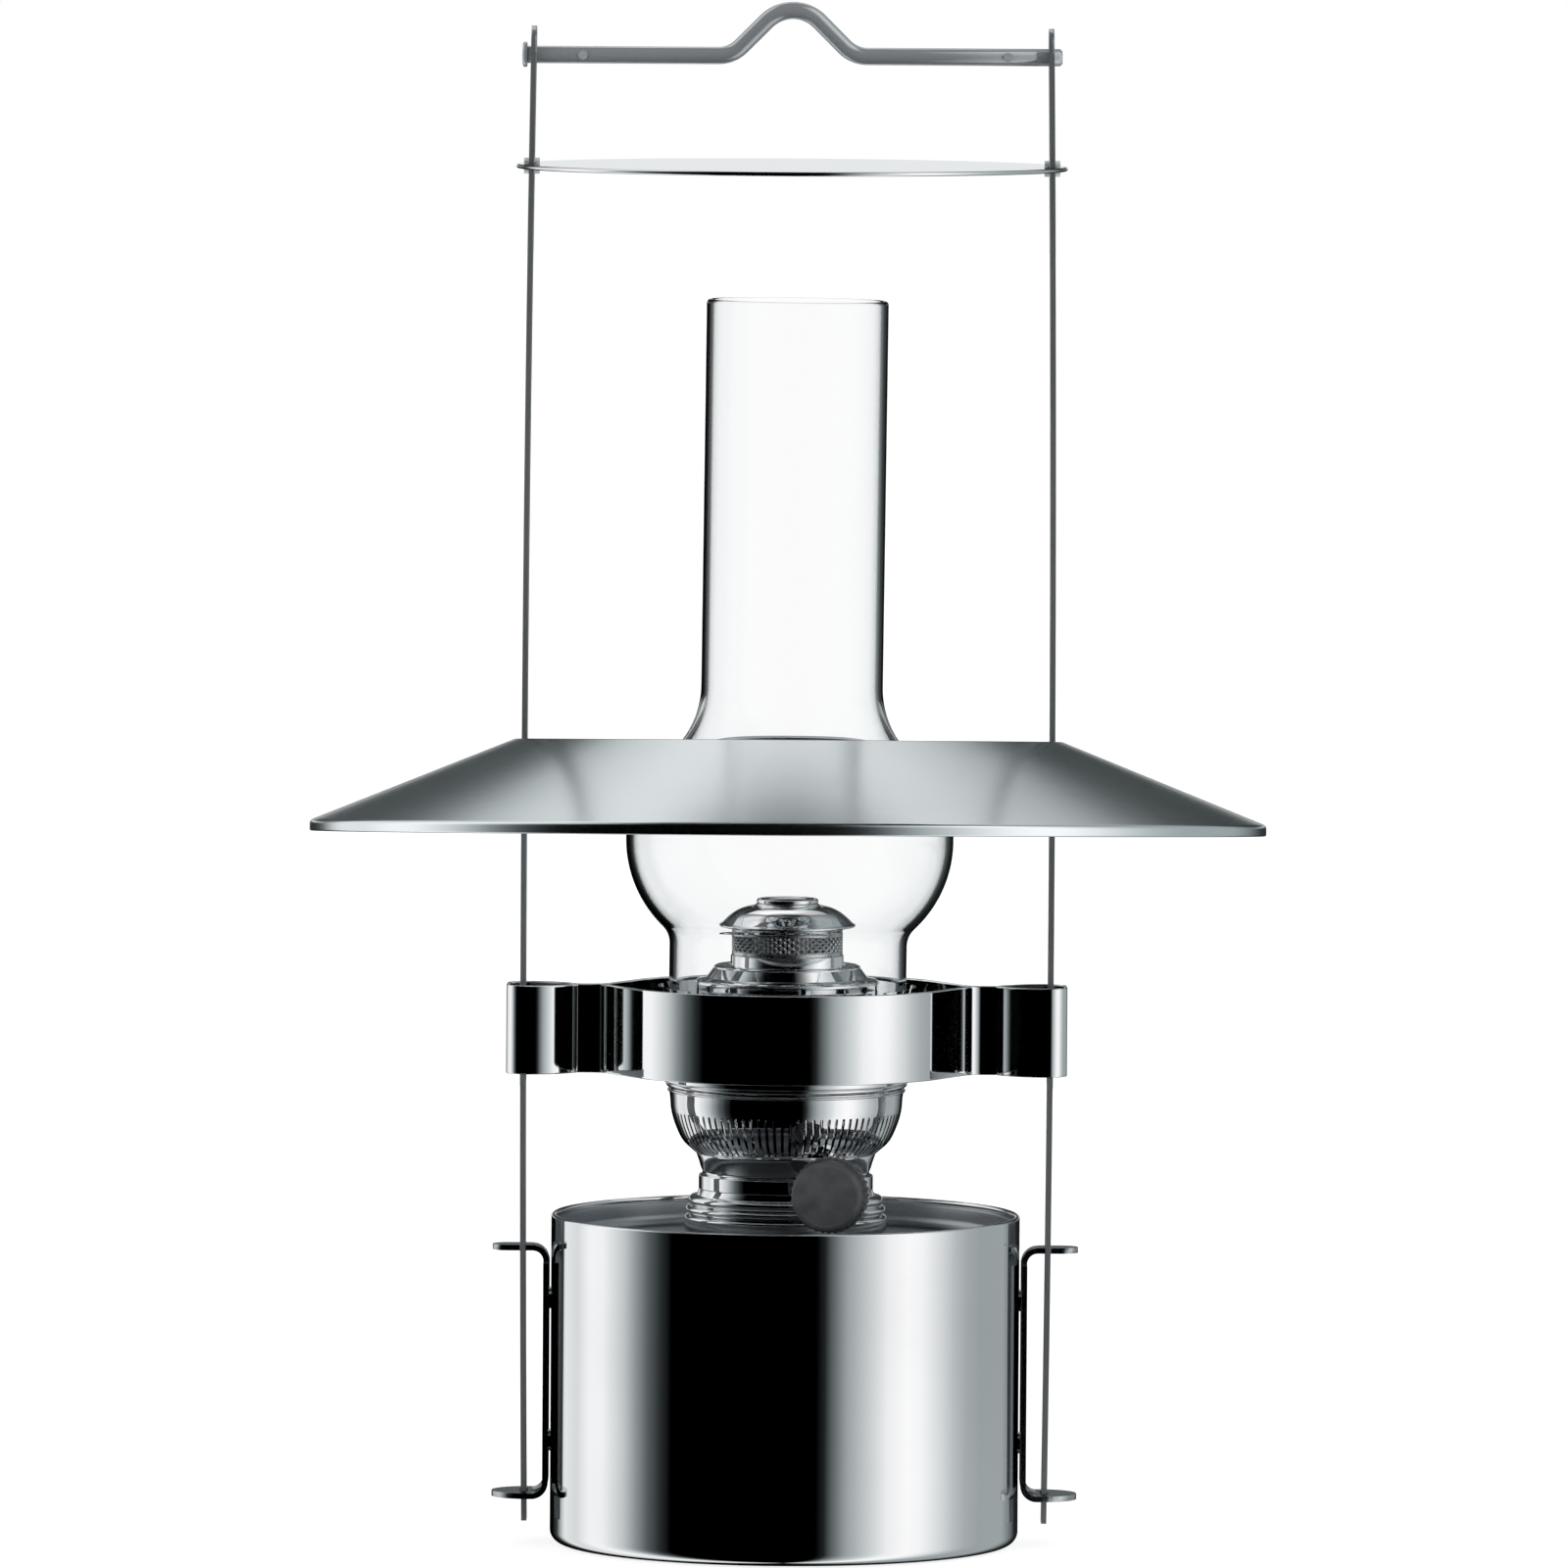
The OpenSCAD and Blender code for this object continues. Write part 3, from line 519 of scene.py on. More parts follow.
def wick_cotton():
    n = Nodes("wick_cotton")
    turns = n.around(110, 0, 700)
    weave = n.add("ShaderNodeTexWave", wave_type="BANDS", bands_direction="DIAGONAL")
    weave.inputs["Scale"].default_value = 1.0
    weave.inputs["Distortion"].default_value = 1.5
    n.link(turns, weave.inputs["Vector"])
    fuzz = n.noise(n.stretched((1800, 1800, 1800)), 4.0)
    split = n.add("ShaderNodeSeparateXYZ")
    n.link(n.place, split.inputs[0])
    char = n.span(split.outputs["Z"], 0.0, 1.0, CHAR_LOW_Z, CHAR_HIGH_Z)
    cloth = n.blend(n.math("MULTIPLY", weave.outputs["Fac"], fuzz), (0.62, 0.57, 0.46), (0.86, 0.83, 0.74))
    n.set(
        Base_Color=n.blend(char, cloth, (0.05, 0.04, 0.035)),
        Roughness=0.95,
        Sheen_Weight=0.3,
        Normal=n.bump(weave.outputs["Fac"], 300, 0.8),
    )
    return n.material


def gasket_rubber():
    n = Nodes("gasket_rubber")
    pores = n.noise(n.stretched((1500, 1500, 1500)), 5.0)
    n.set(
        Base_Color=n.blend(pores, (0.015, 0.015, 0.015), (0.05, 0.048, 0.045)),
        Roughness=n.span(pores, 0.65, 0.85),
        Normal=n.bump(pores, 80, 0.6),
    )
    return n.material


glass = clear_glass()
plastic = knob_plastic()
cotton = wick_cotton()
rubber = gasket_rubber()


# ---------------------------------------------------------------- tank

TANK_R, RIM_Z, TANK_WALL, EDGE_R = 65.6, 90, 1.5, 3.5
EDGE_Z = EDGE_R - DATUM_Z
DECK_Z, DECK_T, DECK_FILLET = 82, 1.2, 3


def tank_shell():
    lip = TANK_WALL / 2
    outline = [(0, -DATUM_Z)]
    outline += arc((TANK_R - EDGE_R, EDGE_Z), EDGE_R, -90, 0, 20)
    outline += arc((TANK_R - lip, RIM_Z - lip), lip, 0, 180, 12)
    outline += arc((TANK_R - EDGE_R, EDGE_Z), EDGE_R - TANK_WALL, 0, -90, 12)
    outline += [(0, TANK_WALL - DATUM_Z)]
    return lathe_mesh(with_support(outline), 256)


def tank_deck():
    wall_x = TANK_R - TANK_WALL - DECK_T
    path = [(wall_x, DECK_Z + 2 * DECK_FILLET)]
    path += arc((wall_x - DECK_FILLET, DECK_Z + DECK_FILLET), DECK_FILLET, 0, -90, 14)
    path += [(22.4, DECK_Z)]
    return lathe_mesh(with_support(sheet(path, DECK_T)), 256)


add_piece("tank_wall", *tank_shell(), "lamp_frame", polished_steel, ["tank_shell"], "polished_steel")
add_piece("tank_top", *tank_deck(), "lamp_frame", deck_steel, ["tank_deck"], "satin_steel")


# ---------------------------------------------------------------- burner

COLLAR_R, BASE_Z, NECK_FOOT_Z = 28.3, 83, 95.5
BOWL_Z, SLOT_LOW_Z, SLOT_HIGH_Z, SLOTS = 106.8, 107.9, 119.2, 90


def burner_base():
    outline = [(20.5, 72), (22.1, 72), (22.1, BASE_Z), (COLLAR_R - 0.4, BASE_Z)]
    outline += arc((COLLAR_R - 0.4, BASE_Z + 0.4), 0.4, -80, 0, 4)
    outline += arc((COLLAR_R - 0.8, 89.0), 0.8, 0, 80, 6)
    outline += arc((26.9, 91.4), 1.1, -80, 80, 14)
    outline += arc((25.8, 94.0), 1.5, -70, 80, 14)
    outline += [(24.9, NECK_FOOT_Z), (23.4, NECK_FOOT_Z), (23.4, 84.5), (20.5, 84.5)]
    return lathe_mesh(with_support(outline), 160)


def burner_neck():
    path = [(24.9, NECK_FOOT_Z), (24.5, 96.6)]
    path += arc((23.8, 97.4), 0.6, -30, 0, 3)
    path += arc((23.9, 100.8), 0.5, 0, 80, 5)
    path += [(23.35, 101.6), (23.3, 101.9), (23.5, 102.4), (23.9, 103.4), (24.4, 105.1), (25, BOWL_Z)]
    return lathe_mesh(with_support(sheet(path, 1.0)), 160)


def burner_bowl():
    path = smooth_path(
        [(24.6, 106.8), (26.1, 108), (29, 110.8), (31, 114.9), (32.2, 119), (32.6, 123.1), (33, 125.6)], 8)
    return windowed_lathe(path, 0.9, SLOTS, math.radians(0.8), SLOT_LOW_Z, SLOT_HIGH_Z)


def bowl_rim():
    return lathe_mesh(arc((33, 126.7), 0.8, 0, 360, 20)[:-1], 192)


def bowl_bead():
    outline = [(32.2, 124.3)] + arc((32.9, 124.9), 0.45, -90, 90, 8) + [(32.2, 125.5)]
    return lathe_mesh(outline, 192)


def bowl_floor():
    return lathe_mesh([(16.2, 106.8), (24.6, 106.8), (24.9, 107.2), (24.7, 107.7), (16.2, 107.7)], 128)


add_piece("burner_foot", *burner_base(), "lamp_frame", chrome, ["burner_base"], "burner_chrome")
add_piece("burner_throat", *burner_neck(), "lamp_frame", chrome, ["burner_neck"], "burner_chrome")
add_piece("burner_cup", *burner_bowl(), "lamp_frame", chrome, ["burner_bowl"], "burner_chrome")
add_piece("burner_cup_rim", *bowl_rim(), "lamp_frame", chrome, (), "burner_chrome")
add_piece("burner_cup_bead", *bowl_bead(), "lamp_frame", chrome, (), "burner_chrome")
add_piece("burner_cup_floor", *bowl_floor(), "lamp_frame", chrome, (), "burner_chrome")


# ---------------------------------------------------------------- knob

SPINDLE_TURN, SPINDLE_OFF, SPINDLE_Z = 9.4, 18.9, 99
KNOB_REACH, KNOB_LEN, KNOB_R, SKIRT_R, SKIRT_LEN = 46, 10, 9.9, 10.3, 5
KNOB_TEETH, TOOTH_H = 36, 0.5


def on_spindle(along, side, up):
    """A point of the spindle's own frame: along runs out to the knob, side away from the wick."""
    a = math.radians(-90 - SPINDLE_TURN)
    side += SPINDLE_OFF
    x = along * math.cos(a) - side * math.sin(a)
    y = along * math.sin(a) + side * math.cos(a)
    return (x, y, SPINDLE_Z + up)


def knob():
    """Points of the outline are (radius, reach, share of the teeth's height)."""
    steps = KNOB_TEETH * 6
    back = KNOB_REACH - KNOB_LEN
    skirt_end = back + SKIRT_LEN
    outline = [(0, back, 0), (9.6, back, 0), (10.1, back + 0.4, 1)]
    outline += [(SKIRT_R, back + 0.8, 1), (SKIRT_R, skirt_end - 0.5, 1), (10.1, skirt_end, 0.6)]
    outline += [(KNOB_R, skirt_end + 0.1, 0), (KNOB_R, KNOB_REACH - 1.6, 0)]
    outline += [(r, x, 0) for r, x in arc((KNOB_R - 1.5, KNOB_REACH - 1.5), 1.5, 0, 90, 9, 1)]
    outline += [(8.3, KNOB_REACH - 0.02, 0), (8.0, KNOB_REACH - 0.22, 0), (7.6, KNOB_REACH - 0.25, 0)]
    outline += [(0, KNOB_REACH - 0.16, 0)]
    points, faces = [], []
    for r, x, teeth in outline:
        for k in range(steps):
            angle = 2 * math.pi * k / steps
            wave = 0.5 + 0.5 * math.cos(angle * KNOB_TEETH)
            crest = r + teeth * TOOTH_H * wave ** 1.5 if r > 0 else 0
            points.append(on_spindle(x, crest * math.cos(angle), crest * math.sin(angle)))
    for i in range(len(outline) - 1):
        for k in range(steps):
            n = (k + 1) % steps
            faces.append((i * steps + k, i * steps + n, (i + 1) * steps + n, (i + 1) * steps + k))
    return points, faces


add_piece("knob_grip", *knob(), "wick_knob", plastic, ["knob"], "knob_plastic", 40)


# ---------------------------------------------------------------- flame spreader

CAP_R, CAP_Z, CAP_TOP_Z = 19.1, 170.6, 177.2
THIMBLE_R, THIMBLE_T, THIMBLE_LOW_Z = 15.5, 0.6, 162.75


def spreader_cap():
    outline = [(10.6, CAP_Z), (17.9, CAP_Z)]
    outline += arc((CAP_R - 0.35, CAP_Z + 0.35), 0.35, -90, 60, 6)
    outline += smooth_path(
        [(18.3, 171.6), (17.6, 172.3), (16.2, 173.6), (14.4, 174.9), (12.2, 175.9), (10.4, 176.3),
         (9.6, 176.25), (9.1, 176.6), (8.8, 177.0), (8.2, 177.2)], 4)
    outline += [(0, CAP_TOP_Z), (0, CAP_TOP_Z - 1.4), (12, CAP_TOP_Z - 4)]
    return lathe_mesh(outline, 160)


def spreader_button():
    outline = [(0, CAP_TOP_Z)] + arc((8.2, 177.6), 0.4, -90, 0, 4) + arc((8.2, 178.0), 0.4, 0, 90, 5)
    outline += smooth_path([(7.4, 178.4), (6.9, 178.1), (6.2, 178.05), (4, 178.2), (0, 178.3)], 4)[1:]
    return lathe_mesh(outline, 128)


def spreader_mesh():
    """Expanded metal: tall diamond holes with rounded strands between them."""
    around, rows = 40, 3
    low, high = THIMBLE_LOW_Z + 0.9, CAP_Z - 0.5
    half_w = math.pi * THIMBLE_R / around
    half_h = (high - low) / (2 * rows)
    strand = 0.46
    # Each diamond's loops, as (share of its size, depth): strand's middle, crest, hole's rim, hole's back
    loops = ((1.0, 0.12), (1 - strand * 0.35, 0.0), (1 - strand, 0.18), (1 - strand, 0.5))
    points, faces = [], []

    def put(s, z, depth):
        r = THIMBLE_R - depth
        a = s / THIMBLE_R
        points.append((r * math.cos(a), r * math.sin(a), z))
        return len(points) - 1

    def corners(cx, cz, share, depth):
        return [put(cx + share * half_w, cz, depth), put(cx, cz + share * half_h, depth),
                put(cx - share * half_w, cz, depth), put(cx, cz - share * half_h, depth)]

    for row in range(2 * rows + 1):
        cz = low + row * half_h
        for i in range(around):
            cx = (2 * i + row % 2) * half_w
            rings = [corners(cx, cz, share, depth) for share, depth in loops]
            for k in range(4):
                j = (k + 1) % 4
                if row == 0 and k in (2, 3) or row == 2 * rows and k in (0, 1):
                    continue
                for outer, inner in zip(rings, rings[1:]):
                    faces.append((inner[k], inner[j], outer[j], outer[k]))
    return points, faces


def spreader_bands():
    """The plain bands below and above the expanded metal."""
    points, faces = [], []
    for low, high in ((THIMBLE_LOW_Z, THIMBLE_LOW_Z + 1.0), (CAP_Z - 0.6, CAP_Z)):
        more, band = lathe_mesh(sheet([(THIMBLE_R, low), (THIMBLE_R, high)], THIMBLE_T, 2), 128)
        faces += [tuple(i + len(points) for i in face) for face in band]
        points += more
    return points, faces


add_piece("spreader_dome", *spreader_cap(), "flame_spreader", chrome, ["spreader_cap"], "burner_chrome")
add_piece("spreader_disc", *spreader_button(), "flame_spreader", chrome,
          ["spreader_button"], "burner_chrome")
add_piece("spreader_mesh", *spreader_mesh(), "flame_spreader", mesh_steel,
          ["spreader_thimble"], "spreader_mesh", 60)
add_piece("spreader_bands", *spreader_bands(), "flame_spreader", mesh_steel, (), "spreader_mesh")


# ---------------------------------------------------------------- chimney

GLASS_T, GLASS_LOW_Z, GLASS_TOP_Z, GLASS_LEAN = 2, 136.6, 346, 0.5
FOOT_R, BULGE_R, GLASS_NECK_R = 33.2, 45.8, 25.4


def leaned(x, y, z):
    """The glass leans a little to the right in its prongs."""
    a = math.radians(GLASS_LEAN)
    z -= GLASS_LOW_Z
    return (x * math.cos(a) + z * math.sin(a), y, GLASS_LOW_Z - x * math.sin(a) + z * math.cos(a))


def chimney():
    outside = [(FOOT_R, GLASS_LOW_Z + GLASS_T / 2)]
    outside += s_curve((FOOT_R, 165.5), (BULGE_R, 195), 7)
    outside += s_curve((BULGE_R, 201), (GLASS_NECK_R, 238), 18)
    outside += [(GLASS_NECK_R, GLASS_TOP_Z - GLASS_T / 2)]
    points, faces = lathe_mesh(with_support(sheet(outside, GLASS_T, 6)), 256)
    return moved(points, leaned), faces


add_piece("chimney_glass", *chimney(), "glass_chimney", glass, ["chimney"], "clear_glass", 60)


# ---------------------------------------------------------------- shade and disc

SHADE_R, SHADE_TOP_R, SHADE_HOLE_R, SHADE_T = 133.7, 78.4, 56, 1
SHADE_TOP_Z, SHADE_H, HEM_H, SHADE_AXIS_Z, SHADE_TILT = 222.9, 26.1, 3.3, 220.8, 3.5
DISC_R, DISC_TOP_Z, DISC_T = 76.9, 383.6, 1.2
STRIP_FOOT_X, STRIP_TOP_X, STRIP_BOW, STRIP_T, BAR_Z = 72.8, 72.2, 1.3, 1.5, 414
# Half the width, half the height and the clearance of the boxes that cut the strips' holes
CUTTER_Y, CUTTER_Z, STRIP_GAP = 7.7, 5, 0.4


def strip_x(z):
    """Distance of the bowed strips from the Z axis at height z."""
    t = z / BAR_Z
    return STRIP_FOOT_X + (STRIP_TOP_X - STRIP_FOOT_X) * t + 4 * STRIP_BOW * t * (1 - t)


def strip_cutter(z, tilt=None):
    """Two boxes that cut the holes of the strips at height z."""
    points, faces = [], []
    half_x = STRIP_T / 2 + STRIP_GAP
    for side in (-1, 1):
        x = side * strip_x(z)
        start = len(points)
        for dz in (-CUTTER_Z, CUTTER_Z):
            for turn_x, turn_y in ((-1, -1), (1, -1), (1, 1), (-1, 1)):
                points.append((x + turn_x * half_x, turn_y * CUTTER_Y, z + dz))
        faces += [tuple(start + k for k in f) for f in (
            (3, 2, 1, 0), (4, 5, 6, 7), (0, 1, 5, 4), (1, 2, 6, 5), (2, 3, 7, 6), (3, 0, 4, 7))]
    if tilt:
        points = moved(points, tilt)
    mesh = bpy.data.meshes.new("cutter")
    mesh.from_pydata(placed(points), [], faces)
    cutter = bpy.data.objects.new("cutter", mesh)
    bpy.context.scene.collection.objects.link(cutter)
    return cutter


def cut_holes(piece, cutter):
    """Cuts the cutter's boxes out of a piece and removes the cutter."""
    hole = piece.modifiers.new("holes", "BOOLEAN")
    hole.object = cutter
    hole.solver = "EXACT"
    bpy.context.view_layer.update()
    graph = bpy.context.evaluated_depsgraph_get()
    cut = bpy.data.meshes.new_from_object(piece.evaluated_get(graph))
    piece.modifiers.clear()
    piece.data = cut
    cut.set_sharp_from_angle(angle=math.radians(SHARP_ANGLE))
    bpy.data.objects.remove(cutter)


def rocked(x, y, z):
    """The shade's lie on its pins: front edge up."""
    a = math.radians(-SHADE_TILT)
    z -= SHADE_AXIS_Z
    return (x, y * math.cos(a) - z * math.sin(a), SHADE_AXIS_Z + y * math.sin(a) + z * math.cos(a))


def shade():
    rim_z = SHADE_TOP_Z - SHADE_H
    path = [(SHADE_R, rim_z + 0.5), (SHADE_R, rim_z + HEM_H - 1.2)]
    path += arc((SHADE_R - 1.4, rim_z + HEM_H - 1.2), 1.4, 0, 65, 10, 1)
    path += arc((SHADE_TOP_R - 2.4, SHADE_TOP_Z - 2.4), 2.4, 66, 90, 8)
    path += [(SHADE_HOLE_R + 0.5, SHADE_TOP_Z)]
    points, faces = lathe_mesh(with_support(sheet(path, SHADE_T)), 384)
    return moved(points, rocked), faces


def smoke_disc():
    edge = DISC_T / 2
    outline = [(0, DISC_TOP_Z - DISC_T)]
    outline += arc((DISC_R - edge, DISC_TOP_Z - edge), edge, -90, 90, 12)
    outline += [(0, DISC_TOP_Z)]
    return lathe_mesh(with_support(outline), 256)


shade_piece = add_piece("shade_cone", *shade(), "lamp_shade", shade_steel, ["shade"], "polished_steel")
cut_holes(shade_piece, strip_cutter(SHADE_TOP_Z, rocked))
disc_piece = add_piece("smoke_plate", *smoke_disc(), "top_disc", polished_steel,
                       ["smoke_disc"], "polished_steel")
cut_holes(disc_piece, strip_cutter(DISC_TOP_Z))


# ---------------------------------------------------------------- hanger

BAR_R, HUMP_RISE, BEND_R, CREST_R, HUMP_ANGLE = 2.4, 12.7, 9, 10.5, 45
BAR_LEFT, BAR_RIGHT, BAR_CHAMFER, HEAD_R, HEAD_T = 74, 75.2, 0.7, 3.5, 1.4


def hanger_bar():
    slope = math.radians(HUMP_ANGLE)
    bend_rise = (BEND_R + CREST_R) * (1 - math.cos(slope))
    limb = (HUMP_RISE - bend_rise) / math.sin(slope)
    half = (BEND_R + CREST_R) * math.sin(slope) + limb * math.cos(slope)
    right = arc((0, HUMP_RISE - CREST_R), CREST_R, 90, 90 - HUMP_ANGLE, 24)
    right += arc((half, BEND_R), BEND_R, -90 - HUMP_ANGLE, -90, 24)
    left = [(-x, z) for x, z in right[:0:-1]]
    chamfer = [(BAR_RIGHT - BAR_CHAMFER, 0), (BAR_RIGHT - 0.2, 0), (BAR_RIGHT, 0)]
    path = [(-BAR_LEFT, 0)] + left + right + chamfer
    path = [(x, BAR_Z + z) for x, z in path]
    radii = [BAR_R] * (len(path) - 2) + [BAR_R - 0.45, BAR_R - BAR_CHAMFER]
    return tube_mesh(path, radii, 48)


def hanger_head():
    outline = [(0, 0), (BAR_R, 0), (HEAD_R - 0.3, 0)]
    outline += arc((HEAD_R - 0.4, 0.4), 0.4, -90, 0, 5, 1)
    outline += smooth_path(
        [(HEAD_R, HEAD_T - 0.6), (HEAD_R - 0.25, HEAD_T - 0.25), (HEAD_R - 0.8, HEAD_T - 0.08),
         (1.5, HEAD_T), (0, HEAD_T)], 4)
    points, faces = lathe_mesh(outline, 48)
    return moved(points, lambda x, y, z: (-BAR_LEFT - z, y, BAR_Z + x)), faces


add_piece("hook_bar", *hanger_bar(), "hanger", satin_bar, ["hanger_bar"], "satin_steel", 50)
add_piece("hook_bar_head", *hanger_head(), "hanger", satin_bar, ["hanger_head"], "satin_steel")


# ---------------------------------------------------------------- ring

RING_Z, RING_H, RING_FRONT, RING_T = 129.4, 24.9, 43.2, 0.9
CREASE, WAIST_X, WAIST_END_X, WAIST_HALF, WAIST_BEND_R = (40.2, -21.6), 55, 58.6, 0.15, 6
LOOP_MID_X, LOOP_HALF, LOOP_END_X, LOOP_END_R = 72.5, 9, 78, 5.2


def ring_quarter():
    """Middle line of the band from the middle of the front to the outer end of the ear at +X."""
    depth = RING_FRONT + CREASE[1]
    front_r = (CREASE[0] ** 2 + depth ** 2) / (2 * depth)
    crease_turn = math.degrees(math.asin(CREASE[0] / front_r))
    waist_y = -WAIST_HALF - RING_T / 2
    flank = math.degrees(math.atan2(
        waist_y - WAIST_BEND_R * 0.35 - CREASE[1], WAIST_X - WAIST_BEND_R - CREASE[0]))
    loop_turn = 2 * math.degrees(math.atan((LOOP_HALF + waist_y) / (LOOP_MID_X - WAIST_END_X)))
    loop_r = (LOOP_MID_X - WAIST_END_X) / math.sin(math.radians(loop_turn))
    path = arc((0, front_r - RING_FRONT), front_r, -90, -90 + crease_turn, 60)
    path += arc((WAIST_X, waist_y - WAIST_BEND_R), WAIST_BEND_R, 90 + min(flank, 80), 90, 16)
    path += arc((LOOP_MID_X, loop_r - LOOP_HALF), loop_r, -90 - loop_turn, -90, 24)
    path += arc((LOOP_END_X - LOOP_END_R, LOOP_END_R - LOOP_HALF), LOOP_END_R, -80, 0, 16)
    return path


def ring_band():
    right = ring_quarter()
    front = [(-x, y) for x, y in right[:0:-1]] + right
    back = [(x, -y) for x, y in front[::-1]]
    return band_mesh(front + back, RING_T, RING_Z, RING_Z + RING_H)


add_piece("ring_band", *ring_band(), "band_ring", ring_steel,
          ["ring_front_band", "ring_back_band"], "polished_steel", 50)


# ---------------------------------------------------------------- CAD nodes that stay

CAD_FINISH = {
    "tank_collar": brass, "collar_gasket": rubber,
    "bracket_left": bracket_steel, "bracket_right": bracket_steel, "bracket_welds": bracket_steel,
    "strip_left": satin_strip, "strip_right": satin_strip, "shade_pins": satin_pin, "disc_pins": pale_painted_pin,
    "chimney_gallery": chrome, "air_cone": chrome, "outer_wick_tube": chrome,
    "inner_wick_tube": brass, "spindle_gland": chrome, "gland_nut": chrome, "spindle_bearing": brass,
    "spindle": satin_pin, "sprocket": brass, "wick_carrier": brass, "wick": cotton,
    "spreader_stem": mesh_steel, "stop_pins": satin_pin, "ring_welds": satin_pin,
}
SOFT_EDGED = (
    "bracket_left", "bracket_right", "strip_left", "strip_right", "shade_pins", "disc_pins", "stop_pins",
    "outer_wick_tube")

for node_name, finish in CAD_FINISH.items():
    node = nodes[node_name]
    node.data.materials.clear()
    node.data.materials.append(finish)

for node_name in SOFT_EDGED:
    weld = nodes[node_name].modifiers.new("joined", "WELD")
    weld.merge_threshold = 0.00001
    bevel = nodes[node_name].modifiers.new("soft_edges", "BEVEL")
    bevel.width = 0.0002
    bevel.segments = 2
    bevel.limit_method = "ANGLE"
    bevel.angle_limit = math.radians(40)
    bevel.harden_normals = True


# ---------------------------------------------------------------- studio

# What polished metal mirrors around the lamp: degrees from the front to the right, and grey
WALLS = (
    (-180, 0.001), (-160, 0.001), (-150, 0.05), (-138, 0.90), (-124, 0.80), (-112, 1.04), (-102, 1.02),
    (-94, 0.84), (-86, 0.63), (-78, 0.32), (-71, 0.12), (-64, 0.03), (-58, 0.0), (16, 0.0), (20, 0.02),
    (26, 0.21), (31, 0.40), (44, 0.73), (52, 0.97), (63, 1.09), (71, 1.04), (84, 0.77), (92, 0.59),
    (101, 0.46), (112, 0.40), (136, 0.40), (148, 0.20), (158, 0.02), (180, 0.001))
# What it mirrors behind the lamp: sine of the angle above the horizon, and grey
BEHIND = (
    (0.0, 0.85), (0.045, 0.80), (0.07, 0.10), (0.16, 0.06), (0.34, 0.06), (0.42, 0.12), (0.50, 0.60),
    (0.66, 0.95), (0.76, 1.20), (0.84, 1.10), (0.91, 0.10), (1.0, 0.0))
# How much darker the right part of that is: degrees, and share
RIGHT_DIM = ((0, 0.0), (150, 0.50), (166, 0.40), (174, 0.05), (180, 0.0))
# Angles to either side of the front between which the walls give way to what is behind
BEHIND_FROM, BEHIND_FULL = math.radians(146), math.radians(160)
# Sines of the heights between which all of it gives way to the dark ceiling
CEILING_FROM, CEILING_FULL = 0.86, 0.96
# Sines of the heights between which the walls' colours below the horizon give way to those above
HORIZON_LOW, HORIZON_HIGH = -0.012, 0.006
BLACK = (0.0, 0.0, 0.0, 1)
WHITE = (1, 1, 1, 1)


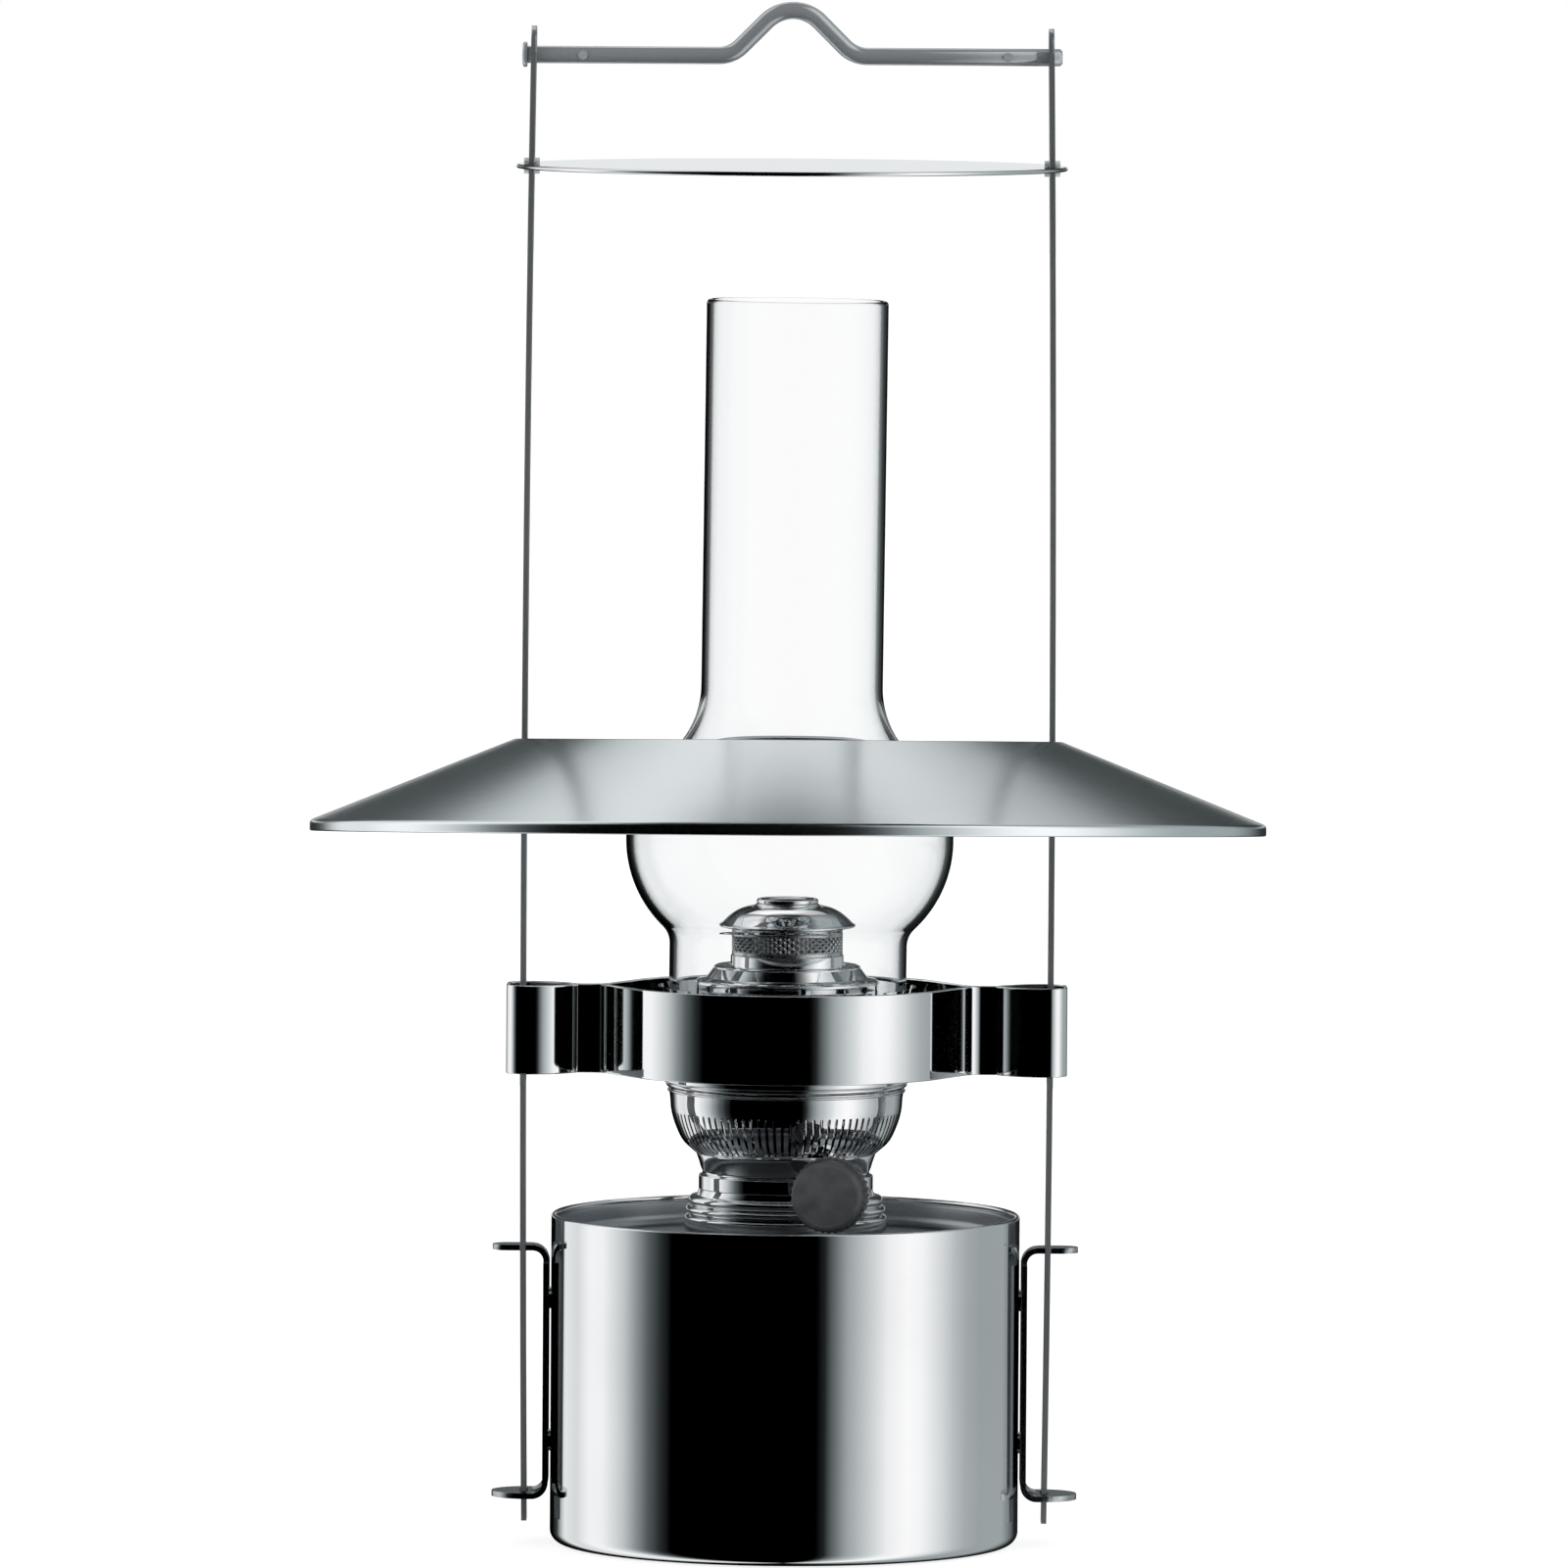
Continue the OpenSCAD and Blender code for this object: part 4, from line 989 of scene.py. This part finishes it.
def studio():
    """White to the eye and to plain surfaces, with dark and light parts for polished metal to mirror."""
    world = bpy.data.worlds.new("studio")
    bpy.context.scene.world = world
    world.use_nodes = True
    world.cycles.sampling_method = "NONE"
    tree = world.node_tree
    background = tree.nodes["Background"]

    def add(kind, **settings):
        node = tree.nodes.new(kind)
        for key, value in settings.items():
            setattr(node, key, value)
        return node

    def math_node(operation, a, b):
        node = add("ShaderNodeMath", operation=operation)
        for socket, value in zip(node.inputs, (a, b)):
            if isinstance(value, (int, float)):
                socket.default_value = value
            else:
                tree.links.new(value, socket)
        return node.outputs[0]

    def ramp(value, stops):
        node = add("ShaderNodeValToRGB")
        node.color_ramp.interpolation = "LINEAR"
        elements = node.color_ramp.elements
        while len(elements) > 1:
            elements.remove(elements[0])
        for i, (place, grey) in enumerate(stops):
            element = elements[0] if i == 0 else elements.new(place)
            element.position = place
            cool = 1 - grey
            element.color = (grey * (1 - 0.14 * cool), grey, grey * (1 + 0.02 * cool), 1)
        tree.links.new(value, node.inputs["Fac"])
        return node.outputs["Color"]

    def between(share, a, b):
        node = add("ShaderNodeMix", data_type="RGBA")
        tree.links.new(share, node.inputs["Factor"])
        for socket, value in ((node.inputs["A"], a), (node.inputs["B"], b)):
            if isinstance(value, tuple):
                socket.default_value = value
            else:
                tree.links.new(value, socket)
        return node.outputs["Result"]

    def share_between(value, low, high):
        node = add("ShaderNodeMapRange", interpolation_type="SMOOTHSTEP")
        node.inputs["From Min"].default_value = low
        node.inputs["From Max"].default_value = high
        tree.links.new(value, node.inputs["Value"])
        return node.outputs["Result"]

    direction = add("ShaderNodeSeparateXYZ")
    tree.links.new(add("ShaderNodeTexCoord").outputs["Generated"], direction.inputs[0])
    x, y, z = direction.outputs
    azimuth = math_node("ARCTAN2", x, math_node("MULTIPLY", y, -1))
    turn = math_node("ADD", math_node("DIVIDE", azimuth, 2 * math.pi), 0.5)

    def around(stops):
        return ramp(turn, [(0.5 + degrees / 360, grey) for degrees, grey in stops])

    walls = around(WALLS)
    behind = between(around(RIGHT_DIM), ramp(z, BEHIND), BLACK)
    is_behind = share_between(math_node("ABSOLUTE", azimuth, 0), BEHIND_FROM, BEHIND_FULL)
    above = between(is_behind, walls, behind)
    above = between(share_between(z, CEILING_FROM, CEILING_FULL), above, BLACK)
    mirrored = between(share_between(z, HORIZON_LOW, HORIZON_HIGH), walls, above)
    glossy_depth = add("ShaderNodeLightPath").outputs["Glossy Depth"]
    seen = between(math_node("GREATER_THAN", glossy_depth, 0.5), WHITE, mirrored)
    tree.links.new(seen, background.inputs["Color"])


def floor():
    mesh = bpy.data.meshes.new("floor")
    reach = 12
    corners = [(-reach, -reach, 0), (reach, -reach, 0), (reach, reach, 0), (-reach, reach, 0)]
    mesh.from_pydata(corners, [], [(0, 1, 2, 3)])
    piece = bpy.data.objects.new("floor", mesh)
    # Just below the tank, so that the two faces don't fight
    piece.location.z = -0.3 * MM
    bpy.context.scene.collection.objects.link(piece)
    piece.visible_glossy = False
    piece.visible_transmission = False
    n = Nodes("pale_floor")
    paper = n.noise(n.stretched((60, 60, 60)), 3.0)
    n.set(
        Base_Color=n.blend(paper, (0.40, 0.40, 0.40), (0.44, 0.44, 0.44)),
        Roughness=0.9,
        Specular_IOR_Level=0.0,
        Emission_Color=(1.0, 1.0, 1.0),
        Emission_Strength=0.75,
    )
    mesh.materials.append(n.material)


def camera():
    eye = Vector((0.0, -4.54, 0.4983))
    target = Vector((-0.0012, 0.0, 0.2129))
    roll = Quaternion((0, 0, 1), math.radians(0.36))
    data = bpy.data.cameras.new("camera")
    data.lens = 373.5
    data.sensor_width = 36
    data.clip_end = 100
    holder = bpy.data.objects.new("camera", data)
    bpy.context.scene.collection.objects.link(holder)
    holder.rotation_mode = "QUATERNION"
    holder.location = eye
    look = (target - eye).to_track_quat("-Z", "Y")
    holder.rotation_quaternion = look @ roll
    bpy.context.scene.camera = holder


studio()
floor()
camera()
bpy.context.scene.view_settings.view_transform = "Standard"
